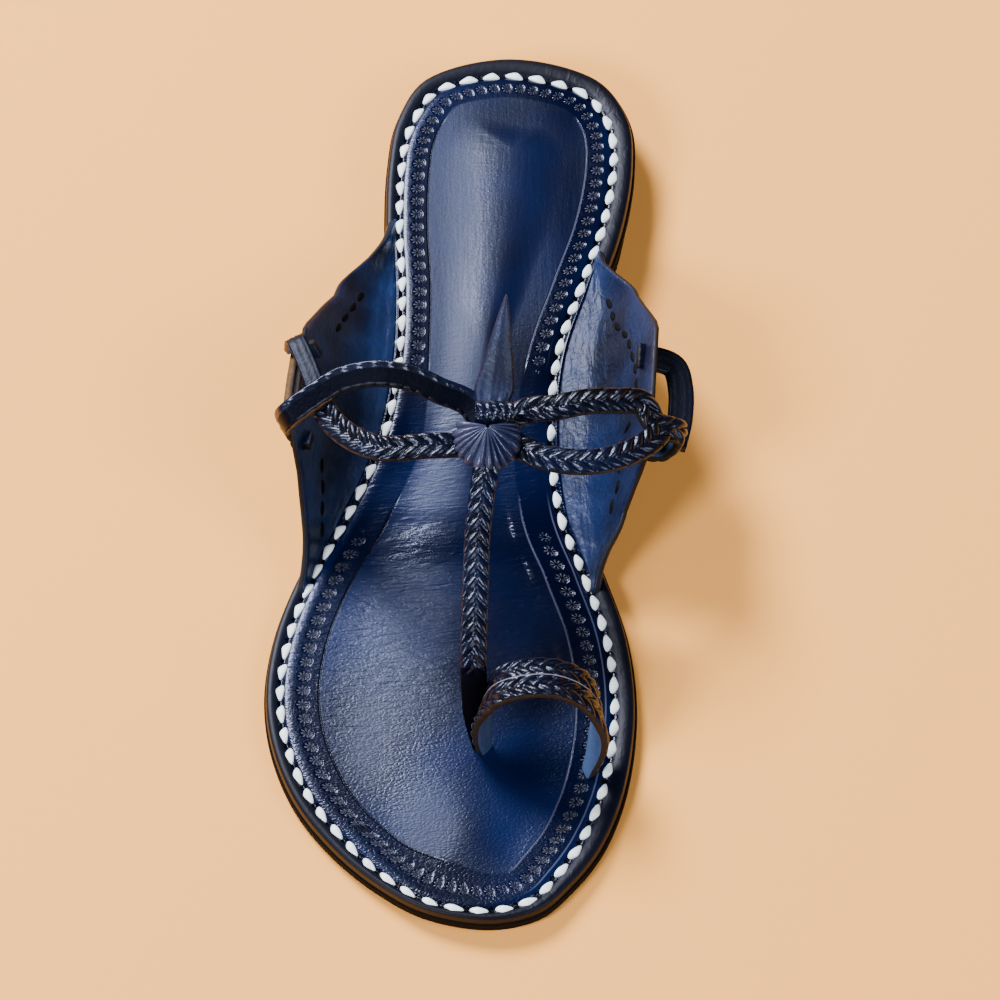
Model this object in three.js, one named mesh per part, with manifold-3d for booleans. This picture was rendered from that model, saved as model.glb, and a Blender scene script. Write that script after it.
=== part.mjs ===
// Kolhapuri sandal, right foot, as an assembly of leather pieces.
// Millimetres, +Z up, toe towards -Y, heel towards +Y, big toe side towards +X.
// The origin is on the floor, under the ball of the foot.
import * as THREE from 'three';
import { mergeVertices } from 'three/addons/utils/BufferGeometryUtils.js';
import Module from 'manifold-3d';

const wasm = await Module();
wasm.setup();

// Driving sizes
const LENGTH = 250;
const BALL_WIDTH = 90;
const SOLE_THICKNESS = 2.8;
const FOOTBED_THICKNESS = 2.3;
const HEEL_HEIGHT = 9;
const TOE_SPRING = 1.5;
const INSTEP_HEIGHT = 46;
const EAR_TOP = 39;
const EAR_THICKNESS = 1.8;
const EAR_FLANGE = 4;
const LACE_INSET = 4.8;
const STRAP_WIDTH = 6.2;
const STRAP_THICKNESS = 2.4;
const THONG_THICKNESS = 1.8;
const BRAID_PITCH = 3.6;
const RING_WIDTH = 12;
const RING_HEIGHT = 30;
const ROSETTE_RADIUS = 7.4;
const TONGUE_LENGTH = 26.5;
const TONGUE_WIDTH = 9.6;
const TONGUE_THICKNESS = 1.6;
const CLEARANCE = 0.3;

// Where the length is divided, as shares from the toe
const BALL_AT = 0.25;
const TOE_CENTRE_AT = 0.1;
const FLAT_END_AT = 0.36;
const HEEL_FLAT_AT = 0.68;
const HEEL_BREAST_AT = 0.71;
const HEEL_CENTRE_AT = 0.875;

// Sole outline. along: share of LENGTH from the toe; lateral and medial: shares of BALL_WIDTH
const TOE_TIP = { along: 0, across: -0.022 };
const HEEL_TIP = { along: 1, across: 0.028 };
const OUTLINE = [
  { along: 0.012, lateral: -0.194, medial: 0.106 },
  { along: 0.04, lateral: -0.322, medial: 0.187 },
  { along: 0.08, lateral: -0.442, medial: 0.267 },
  { along: 0.13, lateral: -0.544, medial: 0.324 },
  { along: 0.19, lateral: -0.61, medial: 0.358 },
  { along: 0.25, lateral: -0.633, medial: 0.367 },
  { along: 0.32, lateral: -0.611, medial: 0.345 },
  { along: 0.39, lateral: -0.548, medial: 0.288 },
  { along: 0.46, lateral: -0.453, medial: 0.222 },
  { along: 0.54, lateral: -0.362, medial: 0.202 },
  { along: 0.62, lateral: -0.324, medial: 0.22 },
  { along: 0.7, lateral: -0.317, medial: 0.285 },
  { along: 0.78, lateral: -0.327, medial: 0.351 },
  { along: 0.86, lateral: -0.322, medial: 0.383 },
  { along: 0.92, lateral: -0.297, medial: 0.372 },
  { along: 0.972, lateral: -0.218, medial: 0.283 },
];

// The rim is wider on the medial side than on the lateral side by this share each way
const RIM_SKEW = 0.15;

// Top of the footbed from its rim inwards. inset: share of LACE_INSET; rise: share of thickness
const FOOTBED_RELIEF = [
  { inset: 0.12, rise: 0.45 },
  { inset: 0.2, rise: 0.86 },
  { inset: 0.42, rise: 1 },
  { inset: 0.72, rise: 0.92 },
  { inset: 1, rise: 0.66 },
  { inset: 1.25, rise: 0.94 },
  { inset: 1.6, rise: 1.14 },
  { inset: 2.3, rise: 1 },
];

// Side view of the ears. rise: share of the height from the sole to EAR_TOP
const EAR_OUTLINE = [
  { lateral: 0.366, medial: 0.366, rise: 0 },
  { lateral: 0.398, medial: 0.392, rise: 0.19 },
  { lateral: 0.426, medial: 0.424, rise: 0.4 },
  { lateral: 0.446, medial: 0.438, rise: 0.68 },
  { lateral: 0.456, medial: 0.446, rise: 0.9 },
  { lateral: 0.467, medial: 0.456, rise: 1 },
  { lateral: 0.586, medial: 0.586, rise: 1 },
  { lateral: 0.598, medial: 0.6, rise: 0.93 },
  { lateral: 0.664, medial: 0.662, rise: 0.45 },
  { lateral: 0.728, medial: 0.71, rise: 0.2 },
  { lateral: 0.79, medial: 0.75, rise: 0 },
];

// Top edge of the ears as shares of BALL_WIDTH, at its front and rear corners, with lengths in
// mm: how far the strap and the thong stand off outside, and how far down the thong runs there.
// thongLean: how far the thong's face leans up and in
const EAR_SIDES = {
  lateral: { side: -1, front: -0.57, rear: -0.54, strapOut: 1.5, thongOut: 1.9, thongDown: 4.5, thongLean: 0 },
  medial: { side: 1, front: 0.411, rear: 0.436, strapOut: 6.5, thongOut: 8, thongDown: 6, thongLean: 0.9 },
};
const EAR_FRONT_AT = 0.446;
const EAR_REAR_AT = 0.586;
const EAR_SKIVE = 1;
const EAR_ROOT = 1.5;
const EAR_BULGE = 0.62;

// Strap routes. along: share of LENGTH, across: share of BALL_WIDTH, up: share of INSTEP_HEIGHT
const KNOT = { along: 0.446, across: -0.033, up: 1 };
const LATERAL_REAR_STRAP = [
  KNOT,
  { along: 0.476, across: -0.086, up: 1.022 },
  { along: 0.486, across: -0.159, up: 1.054 },
  { along: 0.499, across: -0.234, up: 1.065 },
  { along: 0.507, across: -0.33, up: 1.048 },
  { along: 0.506, across: -0.424, up: 0.995 },
  { along: 0.498, across: -0.473, up: 0.962 },
];
const LATERAL_FRONT_STRAP = [
  KNOT,
  { along: 0.433, across: -0.102, up: 1 },
  { along: 0.427, across: -0.201, up: 1.022 },
  { along: 0.426, across: -0.305, up: 1.005 },
  { along: 0.438, across: -0.373, up: 0.97 },
  { along: 0.459, across: -0.431, up: 0.93 },
  { along: 0.483, across: -0.473, up: 0.905 },
];
const MEDIAL_REAR_STRAP = [
  KNOT,
  { along: 0.468, across: 0.075, up: 1.022 },
  { along: 0.467, across: 0.145, up: 1.054 },
  { along: 0.474, across: 0.231, up: 1.054 },
  { along: 0.479, across: 0.309, up: 1.022 },
  { along: 0.483, across: 0.383, up: 0.967 },
];
const MEDIAL_FRONT_STRAP = [
  KNOT,
  { along: 0.429, across: 0.051, up: 1 },
  { along: 0.416, across: 0.112, up: 1.011 },
  { along: 0.41, across: 0.198, up: 1.011 },
  { along: 0.415, across: 0.281, up: 0.989 },
  { along: 0.431, across: 0.357, up: 0.946 },
  { along: 0.45, across: 0.41, up: 0.907 },
  { along: 0.474, across: 0.445, up: 0.88 },
];
const TOE_STRAP = [
  KNOT,
  { along: 0.406, across: -0.037, up: 0.99 },
  { along: 0.379, across: -0.048, up: 0.945 },
  { along: 0.347, across: -0.059, up: 0.87 },
  { along: 0.303, across: -0.064, up: 0.772 },
  { along: 0.259, across: -0.068, up: 0.674 },
  { along: 0.237, across: -0.07, up: 0.596 },
  { along: 0.211, across: -0.066, up: 0.413 },
  { along: 0.195, across: -0.06, up: 0.217 },
];
const OVER_THONG = [
  LATERAL_FRONT_STRAP.at(-1),
  { along: 0.51, across: -0.496, up: 0.905 },
  { along: 0.534, across: -0.518, up: 0.905 },
];
const POST_FOOT = { along: 0.188, across: -0.052 };
const POST_WIDE = 0.014;

// Beside an ear. down: mm below its top edge; out: mm clear of its outer face
const SLOT_DOWN = 9;
const TAIL_INSIDE = 1.6;
const OVER_EDGE = 2.8;
const SLOT_STEP = 0.004;

// Toe ring. across: share of BALL_WIDTH, along: share of LENGTH, up: share of RING_HEIGHT
const TOE_RING = [
  { along: 0.19, across: -0.048, up: 0.36 },
  { along: 0.2, across: -0.041, up: 0.66 },
  { along: 0.205, across: -0.004, up: 0.93 },
  { along: 0.208, across: 0.075, up: 1.02 },
  { along: 0.208, across: 0.155, up: 1 },
  { along: 0.202, across: 0.226, up: 0.88 },
  { along: 0.19, across: 0.262, up: 0.63 },
  { along: 0.176, across: 0.256, up: 0.37 },
];
const RING_FOOT = { along: 0.163, across: 0.232 };

// How far the ring's legs open towards the toe, in radians
const RING_TILT = 0.7;

// Where the slots are along the ears, as shares of LENGTH
const LATERAL_FRONT_SLOT_AT = 0.477;
const MEDIAL_FRONT_SLOT_AT = 0.467;
const LATERAL_REAR_SLOT_AT = 0.568;
const MEDIAL_REAR_SLOT_AT = 0.563;

const yAt = (along) => (along - BALL_AT) * LENGTH;
const alongAt = (y) => y / LENGTH + BALL_AT;
const smoothstep = THREE.MathUtils.smoothstep;
const lerp = THREE.MathUtils.lerp;

// Height of the underside of the sole above the floor
function soleLift(y) {
  const along = alongAt(y);
  const toe = Math.max(0, 1 - along / TOE_CENTRE_AT);
  return TOE_SPRING * toe * toe + HEEL_HEIGHT * smoothstep(along, FLAT_END_AT, HEEL_FLAT_AT);
}

function soleTop(y) {
  return soleLift(y) + SOLE_THICKNESS;
}

function footbedBase(y) {
  return soleTop(y) + CLEARANCE;
}

function makeOutline() {
  const points = [new THREE.Vector3(TOE_TIP.across * BALL_WIDTH, yAt(TOE_TIP.along), 0)];
  for (const row of OUTLINE) points.push(new THREE.Vector3(row.lateral * BALL_WIDTH, yAt(row.along), 0));
  points.push(new THREE.Vector3(HEEL_TIP.across * BALL_WIDTH, yAt(HEEL_TIP.along), 0));
  for (const row of OUTLINE.toReversed()) {
    points.push(new THREE.Vector3(row.medial * BALL_WIDTH, yAt(row.along), 0));
  }
  return new THREE.CatmullRomCurve3(points, true, 'centripetal').getPoints(720);
}

const outline = makeOutline();

// Where the ray from a root point meets the outline, with the outward normal there
function meetOutline(x, y, dx, dy) {
  let best = null;
  for (let i = 0; i + 1 < outline.length; i++) {
    const a = outline[i];
    const b = outline[i + 1];
    const ex = b.x - a.x;
    const ey = b.y - a.y;
    const cross = dx * ey - dy * ex;
    if (Math.abs(cross) < 1e-12) continue;
    const reach = ((a.x - x) * ey - (a.y - y) * ex) / cross;
    const share = ((a.x - x) * dy - (a.y - y) * dx) / cross;
    if (reach <= 0 || share < 0 || share > 1) continue;
    if (best === null || reach < best.reach) {
      const edge = Math.hypot(ex, ey);
      best = { reach, slant: Math.abs(dx * ey - dy * ex) / edge };
    }
  }
  return best;
}

// The line that the ribs of the sole start from
function spineAt(along) {
  const y = yAt(along);
  const left = meetOutline(0, y, -1, 0).reach;
  const right = meetOutline(0, y, 1, 0).reach;
  return { x: (right - left) / 2, y };
}

function makeRib(root, dx, dy) {
  return { root, dx, dy, ...meetOutline(root.x, root.y, dx, dy) };
}

function makeRibs(stations, capSteps) {
  const ribs = [];
  const toe = spineAt(TOE_CENTRE_AT);
  const heel = spineAt(HEEL_CENTRE_AT);
  const alongs = [];
  for (let i = 1; i < stations; i++) alongs.push(lerp(TOE_CENTRE_AT, HEEL_CENTRE_AT, i / stations));
  for (let i = 0; i <= capSteps; i++) {
    const angle = Math.PI * (1 + i / capSteps);
    ribs.push(makeRib(toe, Math.cos(angle), Math.sin(angle)));
  }
  for (const along of alongs) ribs.push(makeRib(spineAt(along), 1, 0));
  for (let i = 0; i <= capSteps; i++) {
    const angle = Math.PI * i / capSteps;
    ribs.push(makeRib(heel, Math.cos(angle), Math.sin(angle)));
  }
  for (const along of alongs.toReversed()) ribs.push(makeRib(spineAt(along), -1, 0));
  return ribs;
}

const ribs = makeRibs(30, 12);

// A point on a rib at a distance inside the outline, measured square to the edge
function insetPoint(rib, inset) {
  const reach = rib.reach - inset * (1 + RIM_SKEW * rib.dx) / rib.slant;
  return [rib.root.x + rib.dx * reach, rib.root.y + rib.dy * reach];
}

function sharePoint(rib, share) {
  const reach = rib.reach * share;
  return [rib.root.x + rib.dx * reach, rib.root.y + rib.dy * reach];
}

// A ring round the sole: at an inset from the edge or at a share of each rib, at height(y)
function soleRing({ inset, share }, height) {
  return ribs.map((rib) => {
    const [x, y] = share === undefined ? insetPoint(rib, inset) : sharePoint(rib, share);
    return [x, y, height(y)];
  });
}

// Turns a triangle list into a solid with merged corners and faces that point out
function toSolid(points, triangles) {
  const geometry = new THREE.BufferGeometry();
  geometry.setAttribute('position', new THREE.Float32BufferAttribute(points.flat(), 3));
  geometry.setIndex(triangles.flat());
  return solidFrom(geometry);
}

function solidFrom(geometry) {
  geometry.deleteAttribute('normal');
  geometry.deleteAttribute('uv');
  const merged = mergeVertices(geometry, 1e-4);
  const position = merged.getAttribute('position');
  const index = merged.getIndex();
  const triVerts = [];
  let volume = 0;
  const corner = [new THREE.Vector3(), new THREE.Vector3(), new THREE.Vector3()];
  for (let i = 0; i < index.count; i += 3) {
    const ids = [index.getX(i), index.getX(i + 1), index.getX(i + 2)];
    if (ids[0] === ids[1] || ids[1] === ids[2] || ids[2] === ids[0]) continue;
    triVerts.push(...ids);
    ids.forEach((id, k) => corner[k].fromBufferAttribute(position, id));
    volume += corner[0].dot(corner[1].clone().cross(corner[2]));
  }
  if (volume < 0) triVerts.reverse();
  return new wasm.Manifold(new wasm.Mesh({
    numProp: 3,
    vertProperties: Float32Array.from(position.array),
    triVerts: Uint32Array.from(triVerts),
  }));
}

// Joins rings of equal length. Rings that close on a line leave no hole; others get flat caps
function loft(rings, capped) {
  const count = rings[0].length;
  const triangles = [];
  for (let r = 0; r + 1 < rings.length; r++) {
    for (let i = 0; i < count; i++) {
      const a = r * count + i;
      const b = r * count + (i + 1) % count;
      triangles.push([a, b, b + count], [a, b + count, a + count]);
    }
  }
  if (capped) {
    const last = (rings.length - 1) * count;
    for (let i = 1; i + 1 < count; i++) {
      triangles.push([0, i + 1, i], [last, last + i, last + i + 1]);
    }
  }
  return toSolid(rings.flat(), triangles);
}

// Outsole: flat under the forefoot, a rounded edge, raised over the heel
function makeOutsole() {
  const t = SOLE_THICKNESS;
  const at = (rise) => (y) => soleLift(y) + rise;
  return loft([
    soleRing({ share: 0 }, at(0)),
    soleRing({ share: 0.55 }, at(0)),
    soleRing({ inset: 0.2 * t }, at(0)),
    soleRing({ inset: 0 }, at(0.25 * t)),
    soleRing({ inset: 0 }, at(0.8 * t)),
    soleRing({ inset: 0.15 * t }, at(t)),
    soleRing({ share: 0.55 }, at(t)),
    soleRing({ share: 0 }, at(t)),
  ]);
}

// Heel: a stacked lift behind the breast line, a little inside the outsole
function makeHeel() {
  const breast = yAt(HEEL_BREAST_AT);
  const rear = ribs.filter((rib) => insetPoint(rib, SOLE_THICKNESS / 3)[1] > breast);
  const shape = new THREE.Shape();
  const spine = spineAt(HEEL_BREAST_AT);
  rear.forEach((rib, i) => {
    const [x, y] = insetPoint(rib, SOLE_THICKNESS / 3);
    if (i === 0) shape.moveTo(x, breast);
    shape.lineTo(x, y);
    if (i === rear.length - 1) shape.lineTo(x, breast);
  });
  shape.quadraticCurveTo(spine.x, breast + HEEL_HEIGHT / 3, shape.getPoint(0).x, breast);
  const geometry = new THREE.ExtrudeGeometry(shape, {
    depth: HEEL_HEIGHT - CLEARANCE,
    bevelEnabled: false,
    curveSegments: 8,
  });
  return solidFrom(geometry);
}

// Footbed: rolled rim, lacing channel and a soft bulge inside it
function makeFootbed() {
  const t = FOOTBED_THICKNESS;
  const base = (y) => footbedBase(y);
  const rings = [
    soleRing({ share: 0 }, base),
    soleRing({ share: 0.55 }, base),
    soleRing({ inset: 0.2 * LACE_INSET }, base),
  ];
  for (const row of FOOTBED_RELIEF) {
    rings.push(soleRing({ inset: row.inset * LACE_INSET }, (y) => base(y) + row.rise * t));
  }
  rings.push(soleRing({ share: 0.4 }, (y) => base(y) + t));
  rings.push(soleRing({ share: 0 }, (y) => base(y) + t));
  return loft(rings);
}

// The lacing line on one side of the sole
function laceX(side, y) {
  return insetPoint(makeRib(spineAt(alongAt(y)), side, 0), LACE_INSET)[0];
}

// The ear's outer face in the section at y: three control points of its curve
function earCurve(ear, y) {
  const share = (alongAt(y) - EAR_FRONT_AT) / (EAR_REAR_AT - EAR_FRONT_AT);
  const rootX = laceX(ear.side, y) + ear.side * EAR_ROOT;
  const topX = lerp(ear.front, ear.rear, share) * BALL_WIDTH;
  return { rootX, bulgeX: lerp(rootX, topX, EAR_BULGE), topX, rootZ: footbedBase(y) };
}

// A point of the outer face at share t of its curve, with its outward normal
function earFace(ear, y, t) {
  const curve = earCurve(ear, y);
  const x = (1 - t) ** 2 * curve.rootX + 2 * t * (1 - t) * curve.bulgeX + t * t * curve.topX;
  const z = curve.rootZ + t * t * (EAR_TOP - curve.rootZ);
  const slopeX = 2 * (1 - t) * (curve.bulgeX - curve.rootX) + 2 * t * (curve.topX - curve.bulgeX);
  const slopeZ = 2 * t * (EAR_TOP - curve.rootZ);
  const size = Math.hypot(slopeX, slopeZ);
  return { x, z, nx: ear.side * slopeZ / size, nz: -Math.abs(slopeX) / size };
}

// A point beside the ear: down from its top edge, out from its outer face
function besideEar(ear, along, down, out) {
  const y = yAt(along);
  const root = footbedBase(y);
  const t = Math.sqrt(Math.min(1, (EAR_TOP - down - root) / (EAR_TOP - root)));
  const face = earFace(ear, y, t);
  const above = Math.max(0, -down);
  return new THREE.Vector3(face.x + face.nx * out, y, face.z + face.nz * out + above);
}

function earStations(name) {
  const first = EAR_OUTLINE[0][name];
  const last = EAR_OUTLINE.at(-1)[name];
  const steps = 16;
  return Array.from({ length: steps + 1 }, (_, i) => yAt(lerp(first, last, i / steps)));
}

// Ear: a leather flap that starts as a skived flange under the footbed and rises beside the foot
function makeEarBlank(name) {
  const ear = EAR_SIDES[name];
  const shares = [0.18, 0.36, 0.54, 0.72, 0.88, 1.03];
  const sections = earStations(name).map((y) => {
    const lace = laceX(ear.side, y);
    const base = footbedBase(y);
    const outer = [[lace - ear.side * EAR_FLANGE, y, base], [lace, y, base]];
    const inner = [
      [lace - ear.side * EAR_FLANGE, y, base + EAR_SKIVE],
      [lace, y, base + EAR_SKIVE],
    ];
    for (const t of shares) {
      const face = earFace(ear, y, t);
      outer.push([face.x, y, face.z]);
      inner.push([face.x - face.nx * EAR_THICKNESS, y, face.z - face.nz * EAR_THICKNESS]);
    }
    return [...outer, ...inner.toReversed()];
  });
  return loft(sections, true);
}

// Everything under the ear's side view, as a block across the sandal
function makeEarTrim(name) {
  const shape = new THREE.Shape();
  const rows = EAR_OUTLINE;
  const below = -EAR_TOP;
  shape.moveTo(yAt(rows[0][name]) + CLEARANCE, below);
  const margin = EAR_SKIVE + EAR_THICKNESS / 2;
  for (const row of rows) {
    const y = yAt(row[name]);
    const base = footbedBase(y);
    shape.lineTo(y, base + margin + row.rise * (EAR_TOP - base - margin));
  }
  shape.lineTo(yAt(rows.at(-1)[name]) - CLEARANCE, below);
  const geometry = new THREE.ExtrudeGeometry(shape, { depth: 2 * BALL_WIDTH, bevelEnabled: false });
  geometry.applyMatrix4(new THREE.Matrix4().makeBasis(
    new THREE.Vector3(0, 1, 0), new THREE.Vector3(0, 0, 1), new THREE.Vector3(1, 0, 0)));
  geometry.translate(-BALL_WIDTH, 0, 0);
  return solidFrom(geometry);
}

// The room that an ear takes from the footbed: its flange's recess and the rim outside the lacing
function makeEarRecess(name) {
  const { side } = EAR_SIDES[name];
  const high = EAR_TOP;
  const low = SOLE_THICKNESS;
  const ys = earStations(name);
  ys[0] -= CLEARANCE;
  ys[ys.length - 1] += CLEARANCE;
  const sections = ys.map((y) => {
    const lace = laceX(side, y);
    const base = footbedBase(y);
    const inside = lace - side * (EAR_FLANGE + CLEARANCE);
    const edge = lace - side * CLEARANCE;
    const outside = lace + side * 4 * LACE_INSET;
    return { y, inside, edge, outside, base };
  });
  const block = (from, to, top) => loft(sections.map((s) => [
    [s[from], s.y, s.base - low],
    [s[to], s.y, s.base - low],
    [s[to], s.y, s.base + top],
    [s[from], s.y, s.base + top],
  ]), true);
  return block('inside', 'outside', EAR_SKIVE + CLEARANCE).add(block('edge', 'outside', high));
}

const always = () => 1;
const level = () => 0;

// Frames along a path, with an up direction carried along without twist, then tilted about it
function makeFrames(curve, spacing, up, tilt) {
  const steps = Math.max(3, Math.round(curve.getLength() / spacing));
  const frames = [];
  let normal = up.clone();
  for (let i = 0; i <= steps; i++) {
    const point = curve.getPointAt(i / steps);
    const tangent = curve.getTangentAt(i / steps);
    normal = normal.addScaledVector(tangent, -normal.dot(tangent)).normalize();
    const side = new THREE.Vector3().crossVectors(normal, tangent);
    const angle = tilt(i / steps);
    frames.push({
      point,
      share: i / steps,
      side: side.clone().multiplyScalar(Math.cos(angle)).addScaledVector(normal, -Math.sin(angle)),
      normal: normal.clone().multiplyScalar(Math.cos(angle)).addScaledVector(side, Math.sin(angle)),
    });
  }
  return frames;
}

// Plain strap: a flat strip with rounded edges
function plainSection(half, thick) {
  return [
    [-half, 0], [-0.8 * half, thick], [0, thick], [0.8 * half, thick],
    [half, 0], [0.8 * half, -thick], [0, -thick], [-0.8 * half, -thick],
  ];
}

// Braided strap: strips raised in chevrons, one row or two rows side by side
function braidSection(half, thick, distance, rows) {
  const raise = 0.16 * STRAP_THICKNESS;
  const top = (across) => {
    const row = rows === 1 ? across : 2 * Math.abs(across) - 1;
    const phase = distance / BRAID_PITCH - 0.5 * Math.abs(row);
    const groove = rows === 2 && across === 0 ? raise : 0;
    return thick * (1 - 0.3 * row * row) + raise * Math.cos(2 * Math.PI * phase) - groove;
  };
  const columns = rows === 1 ? [-0.6, 0, 0.6] : [-0.8, -0.5, -0.2, 0, 0.2, 0.5, 0.8];
  const over = columns.map((across) => [across * half, top(across)]);
  return [[-half, 0], ...over, [half, 0], [0.7 * half, -thick], [0, -thick], [-0.7 * half, -thick]];
}

// Sweeps a strap along points. grow widens it all round, to cut the room that it needs
function makeStrap(points, options, grow) {
  const { width, thickness, up, braid = 0, taper = always, tilt = level } = options;
  const curve = new THREE.CatmullRomCurve3(points, false, 'centripetal');
  const spacing = braid ? BRAID_PITCH / 2 : THONG_THICKNESS;
  const length = curve.getLength();
  const frames = makeFrames(curve, spacing, up, tilt);
  const rings = frames.map(({ point, side, normal, share }) => {
    const half = width / 2 * taper(share) + grow;
    const thick = thickness / 2 + grow;
    const section = braid ? braidSection(half, thick, share * length, braid) : plainSection(half, thick);
    return section.map(([across, rise]) => point.clone()
      .addScaledVector(side, across)
      .addScaledVector(normal, rise)
      .toArray());
  });
  return loft(rings, true);
}

function place({ along, across, up }, height = INSTEP_HEIGHT) {
  return new THREE.Vector3(across * BALL_WIDTH, yAt(along), up * height);
}

function footPoint({ along, across }, rise) {
  return new THREE.Vector3(across * BALL_WIDTH, yAt(along), footbedBase(yAt(along)) + rise);
}

const UP = new THREE.Vector3(0, -0.3, 1).normalize();

// Rear instep strap: from the knot over the ear's edge, down outside and in through a slot
function rearStrap(rows, ear, at, grow) {
  const out = ear.strapOut;
  const points = rows.map((row) => place(row));
  points.push(besideEar(ear, at, -OVER_EDGE, 0));
  points.push(besideEar(ear, at, 0, out));
  points.push(besideEar(ear, at, SLOT_DOWN / 2, out));
  points.push(besideEar(ear, at, 0.9 * SLOT_DOWN, 0.7 * out));
  points.push(besideEar(ear, at, SLOT_DOWN, 0));
  points.push(besideEar(ear, at, SLOT_DOWN, -EAR_THICKNESS - TAIL_INSIDE));
  return makeStrap(points, { width: STRAP_WIDTH, thickness: STRAP_THICKNESS, up: UP, braid: 1 }, grow);
}

// Front instep strap, which passes under the rear one
function frontStrap(rows, grow) {
  const options = { width: STRAP_WIDTH, thickness: STRAP_THICKNESS, up: UP, braid: 1 };
  return makeStrap(rows.map((row) => place(row)), options, grow);
}

// Plain thong along the outside of an ear, back in through its rear slot
function outerThong(ear, frontAt, rearAt, grow) {
  const { thongOut: out, thongDown: down, thongLean: lean } = ear;
  const points = [
    besideEar(ear, frontAt, down, ear.strapOut),
    besideEar(ear, lerp(frontAt, rearAt, 0.35), down, out),
    besideEar(ear, lerp(frontAt, rearAt, 0.75), down, out),
    besideEar(ear, rearAt, down, 0.75 * out),
    besideEar(ear, rearAt + SLOT_STEP, down, 0),
    besideEar(ear, rearAt + SLOT_STEP, down, -EAR_THICKNESS - TAIL_INSIDE),
  ];
  const face = earFace(ear, yAt(frontAt), 0.9);
  const up = new THREE.Vector3(lerp(face.nx, -face.nx, lean / 2), 0, lerp(face.nz, 1, lean));
  return makeStrap(points, { width: STRAP_WIDTH, thickness: THONG_THICKNESS, up }, grow);
}

// Plain thong that carries on from the lateral front strap, over the ear's edge
function overThong(ear, rearAt, grow) {
  const points = [
    ...OVER_THONG.map((row) => place(row)),
    besideEar(ear, rearAt, -THONG_THICKNESS, ear.thongOut / 2),
    besideEar(ear, rearAt, THONG_THICKNESS, ear.thongOut),
  ];
  return makeStrap(points, { width: 0.75 * STRAP_WIDTH, thickness: THONG_THICKNESS, up: UP }, grow);
}

// Toe strap and the post that it becomes between the toes
function toeStrap(grow) {
  const points = TOE_STRAP.map((row) => place(row));
  points.push(footPoint(POST_FOOT, 2 * CLEARANCE + THONG_THICKNESS / 3));
  const taper = (share) => lerp(1, 0.5, smoothstep(share, 0.82, 1));
  return makeStrap(points, {
    width: STRAP_WIDTH, thickness: STRAP_THICKNESS, up: UP, braid: 1, taper,
  }, grow);
}

// Toe ring: two rows of braid over the big toe, with both ends tucked into the footbed
function toeRing(grow) {
  const rise = 2 * CLEARANCE + THONG_THICKNESS / 3;
  const points = [footPoint({ along: POST_FOOT.along, across: POST_FOOT.across + POST_WIDE }, rise)];
  for (const row of TOE_RING) points.push(place(row, RING_HEIGHT));
  points.push(footPoint(RING_FOOT, rise));
  const taper = (share) => {
    const start = smoothstep(share, 0, 0.3);
    const end = 1 - smoothstep(share, 0.75, 1);
    return lerp(0.3, 1, Math.min(start, end));
  };
  const tilt = (share) => RING_TILT * (1 - smoothstep(share, 0, 0.4) + smoothstep(share, 0.6, 1));
  const up = new THREE.Vector3(-1, 0, 0);
  return makeStrap(points, {
    width: RING_WIDTH, thickness: STRAP_THICKNESS, up, braid: 2, taper, tilt,
  }, grow);
}

// Small pad where the straps meet
function knotPad(grow) {
  const geometry = new THREE.SphereGeometry(1, 14, 8);
  geometry.scale(0.75 * STRAP_WIDTH + grow, 0.85 * STRAP_WIDTH + grow, 0.8 * STRAP_THICKNESS + grow);
  const centre = place(KNOT);
  geometry.translate(centre.x, centre.y, centre.z);
  return solidFrom(geometry);
}

function makeUpper(grow) {
  const { lateral, medial } = EAR_SIDES;
  return rearStrap(LATERAL_REAR_STRAP, lateral, LATERAL_FRONT_SLOT_AT, grow)
    .add(rearStrap(MEDIAL_REAR_STRAP, medial, MEDIAL_FRONT_SLOT_AT, grow))
    .add(frontStrap(LATERAL_FRONT_STRAP, grow))
    .add(frontStrap(MEDIAL_FRONT_STRAP, grow))
    .add(outerThong(lateral, LATERAL_FRONT_SLOT_AT, LATERAL_REAR_SLOT_AT, grow))
    .add(outerThong(medial, MEDIAL_FRONT_SLOT_AT, MEDIAL_REAR_SLOT_AT, grow))
    .add(overThong(lateral, LATERAL_REAR_SLOT_AT, grow))
    .add(toeStrap(grow))
    .add(toeRing(grow))
    .add(knotPad(grow));
}

// Rosette: a disc of leather gathered into pleats over the knot, with a plain wrap on its rear half
const ROSETTE_ROWS = [
  { radius: 0, rise: 0, pleat: 0 },
  { radius: 0.5, rise: 0, pleat: 0 },
  { radius: 0.9, rise: -0.15, pleat: 0 },
  { radius: 1, rise: 0.1, pleat: 0 },
  { radius: 0.88, rise: 0.6, pleat: 0.2 },
  { radius: 0.5, rise: 0.82, pleat: 0.16 },
  { radius: 0.16, rise: 0.88, pleat: 0.05 },
  { radius: 0, rise: 0.85, pleat: 0 },
];
const PLEATS = 10;

// The fan's reach towards the toe, as a share of its radius
const FAN_REACH = 1.3;

function roundedBlock(width, depth, height) {
  const shape = new THREE.Shape();
  shape.moveTo(-depth / 2, 0);
  shape.lineTo(-0.42 * depth, 0.75 * height);
  shape.quadraticCurveTo(0, 1.25 * height, 0.42 * depth, 0.75 * height);
  shape.lineTo(depth / 2, 0);
  const geometry = new THREE.ExtrudeGeometry(shape, { depth: width, bevelEnabled: false, curveSegments: 6 });
  geometry.applyMatrix4(new THREE.Matrix4().makeBasis(
    new THREE.Vector3(0, 1, 0), new THREE.Vector3(0, 0, 1), new THREE.Vector3(1, 0, 0)));
  geometry.translate(-width / 2, 0, 0);
  return geometry;
}

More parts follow.
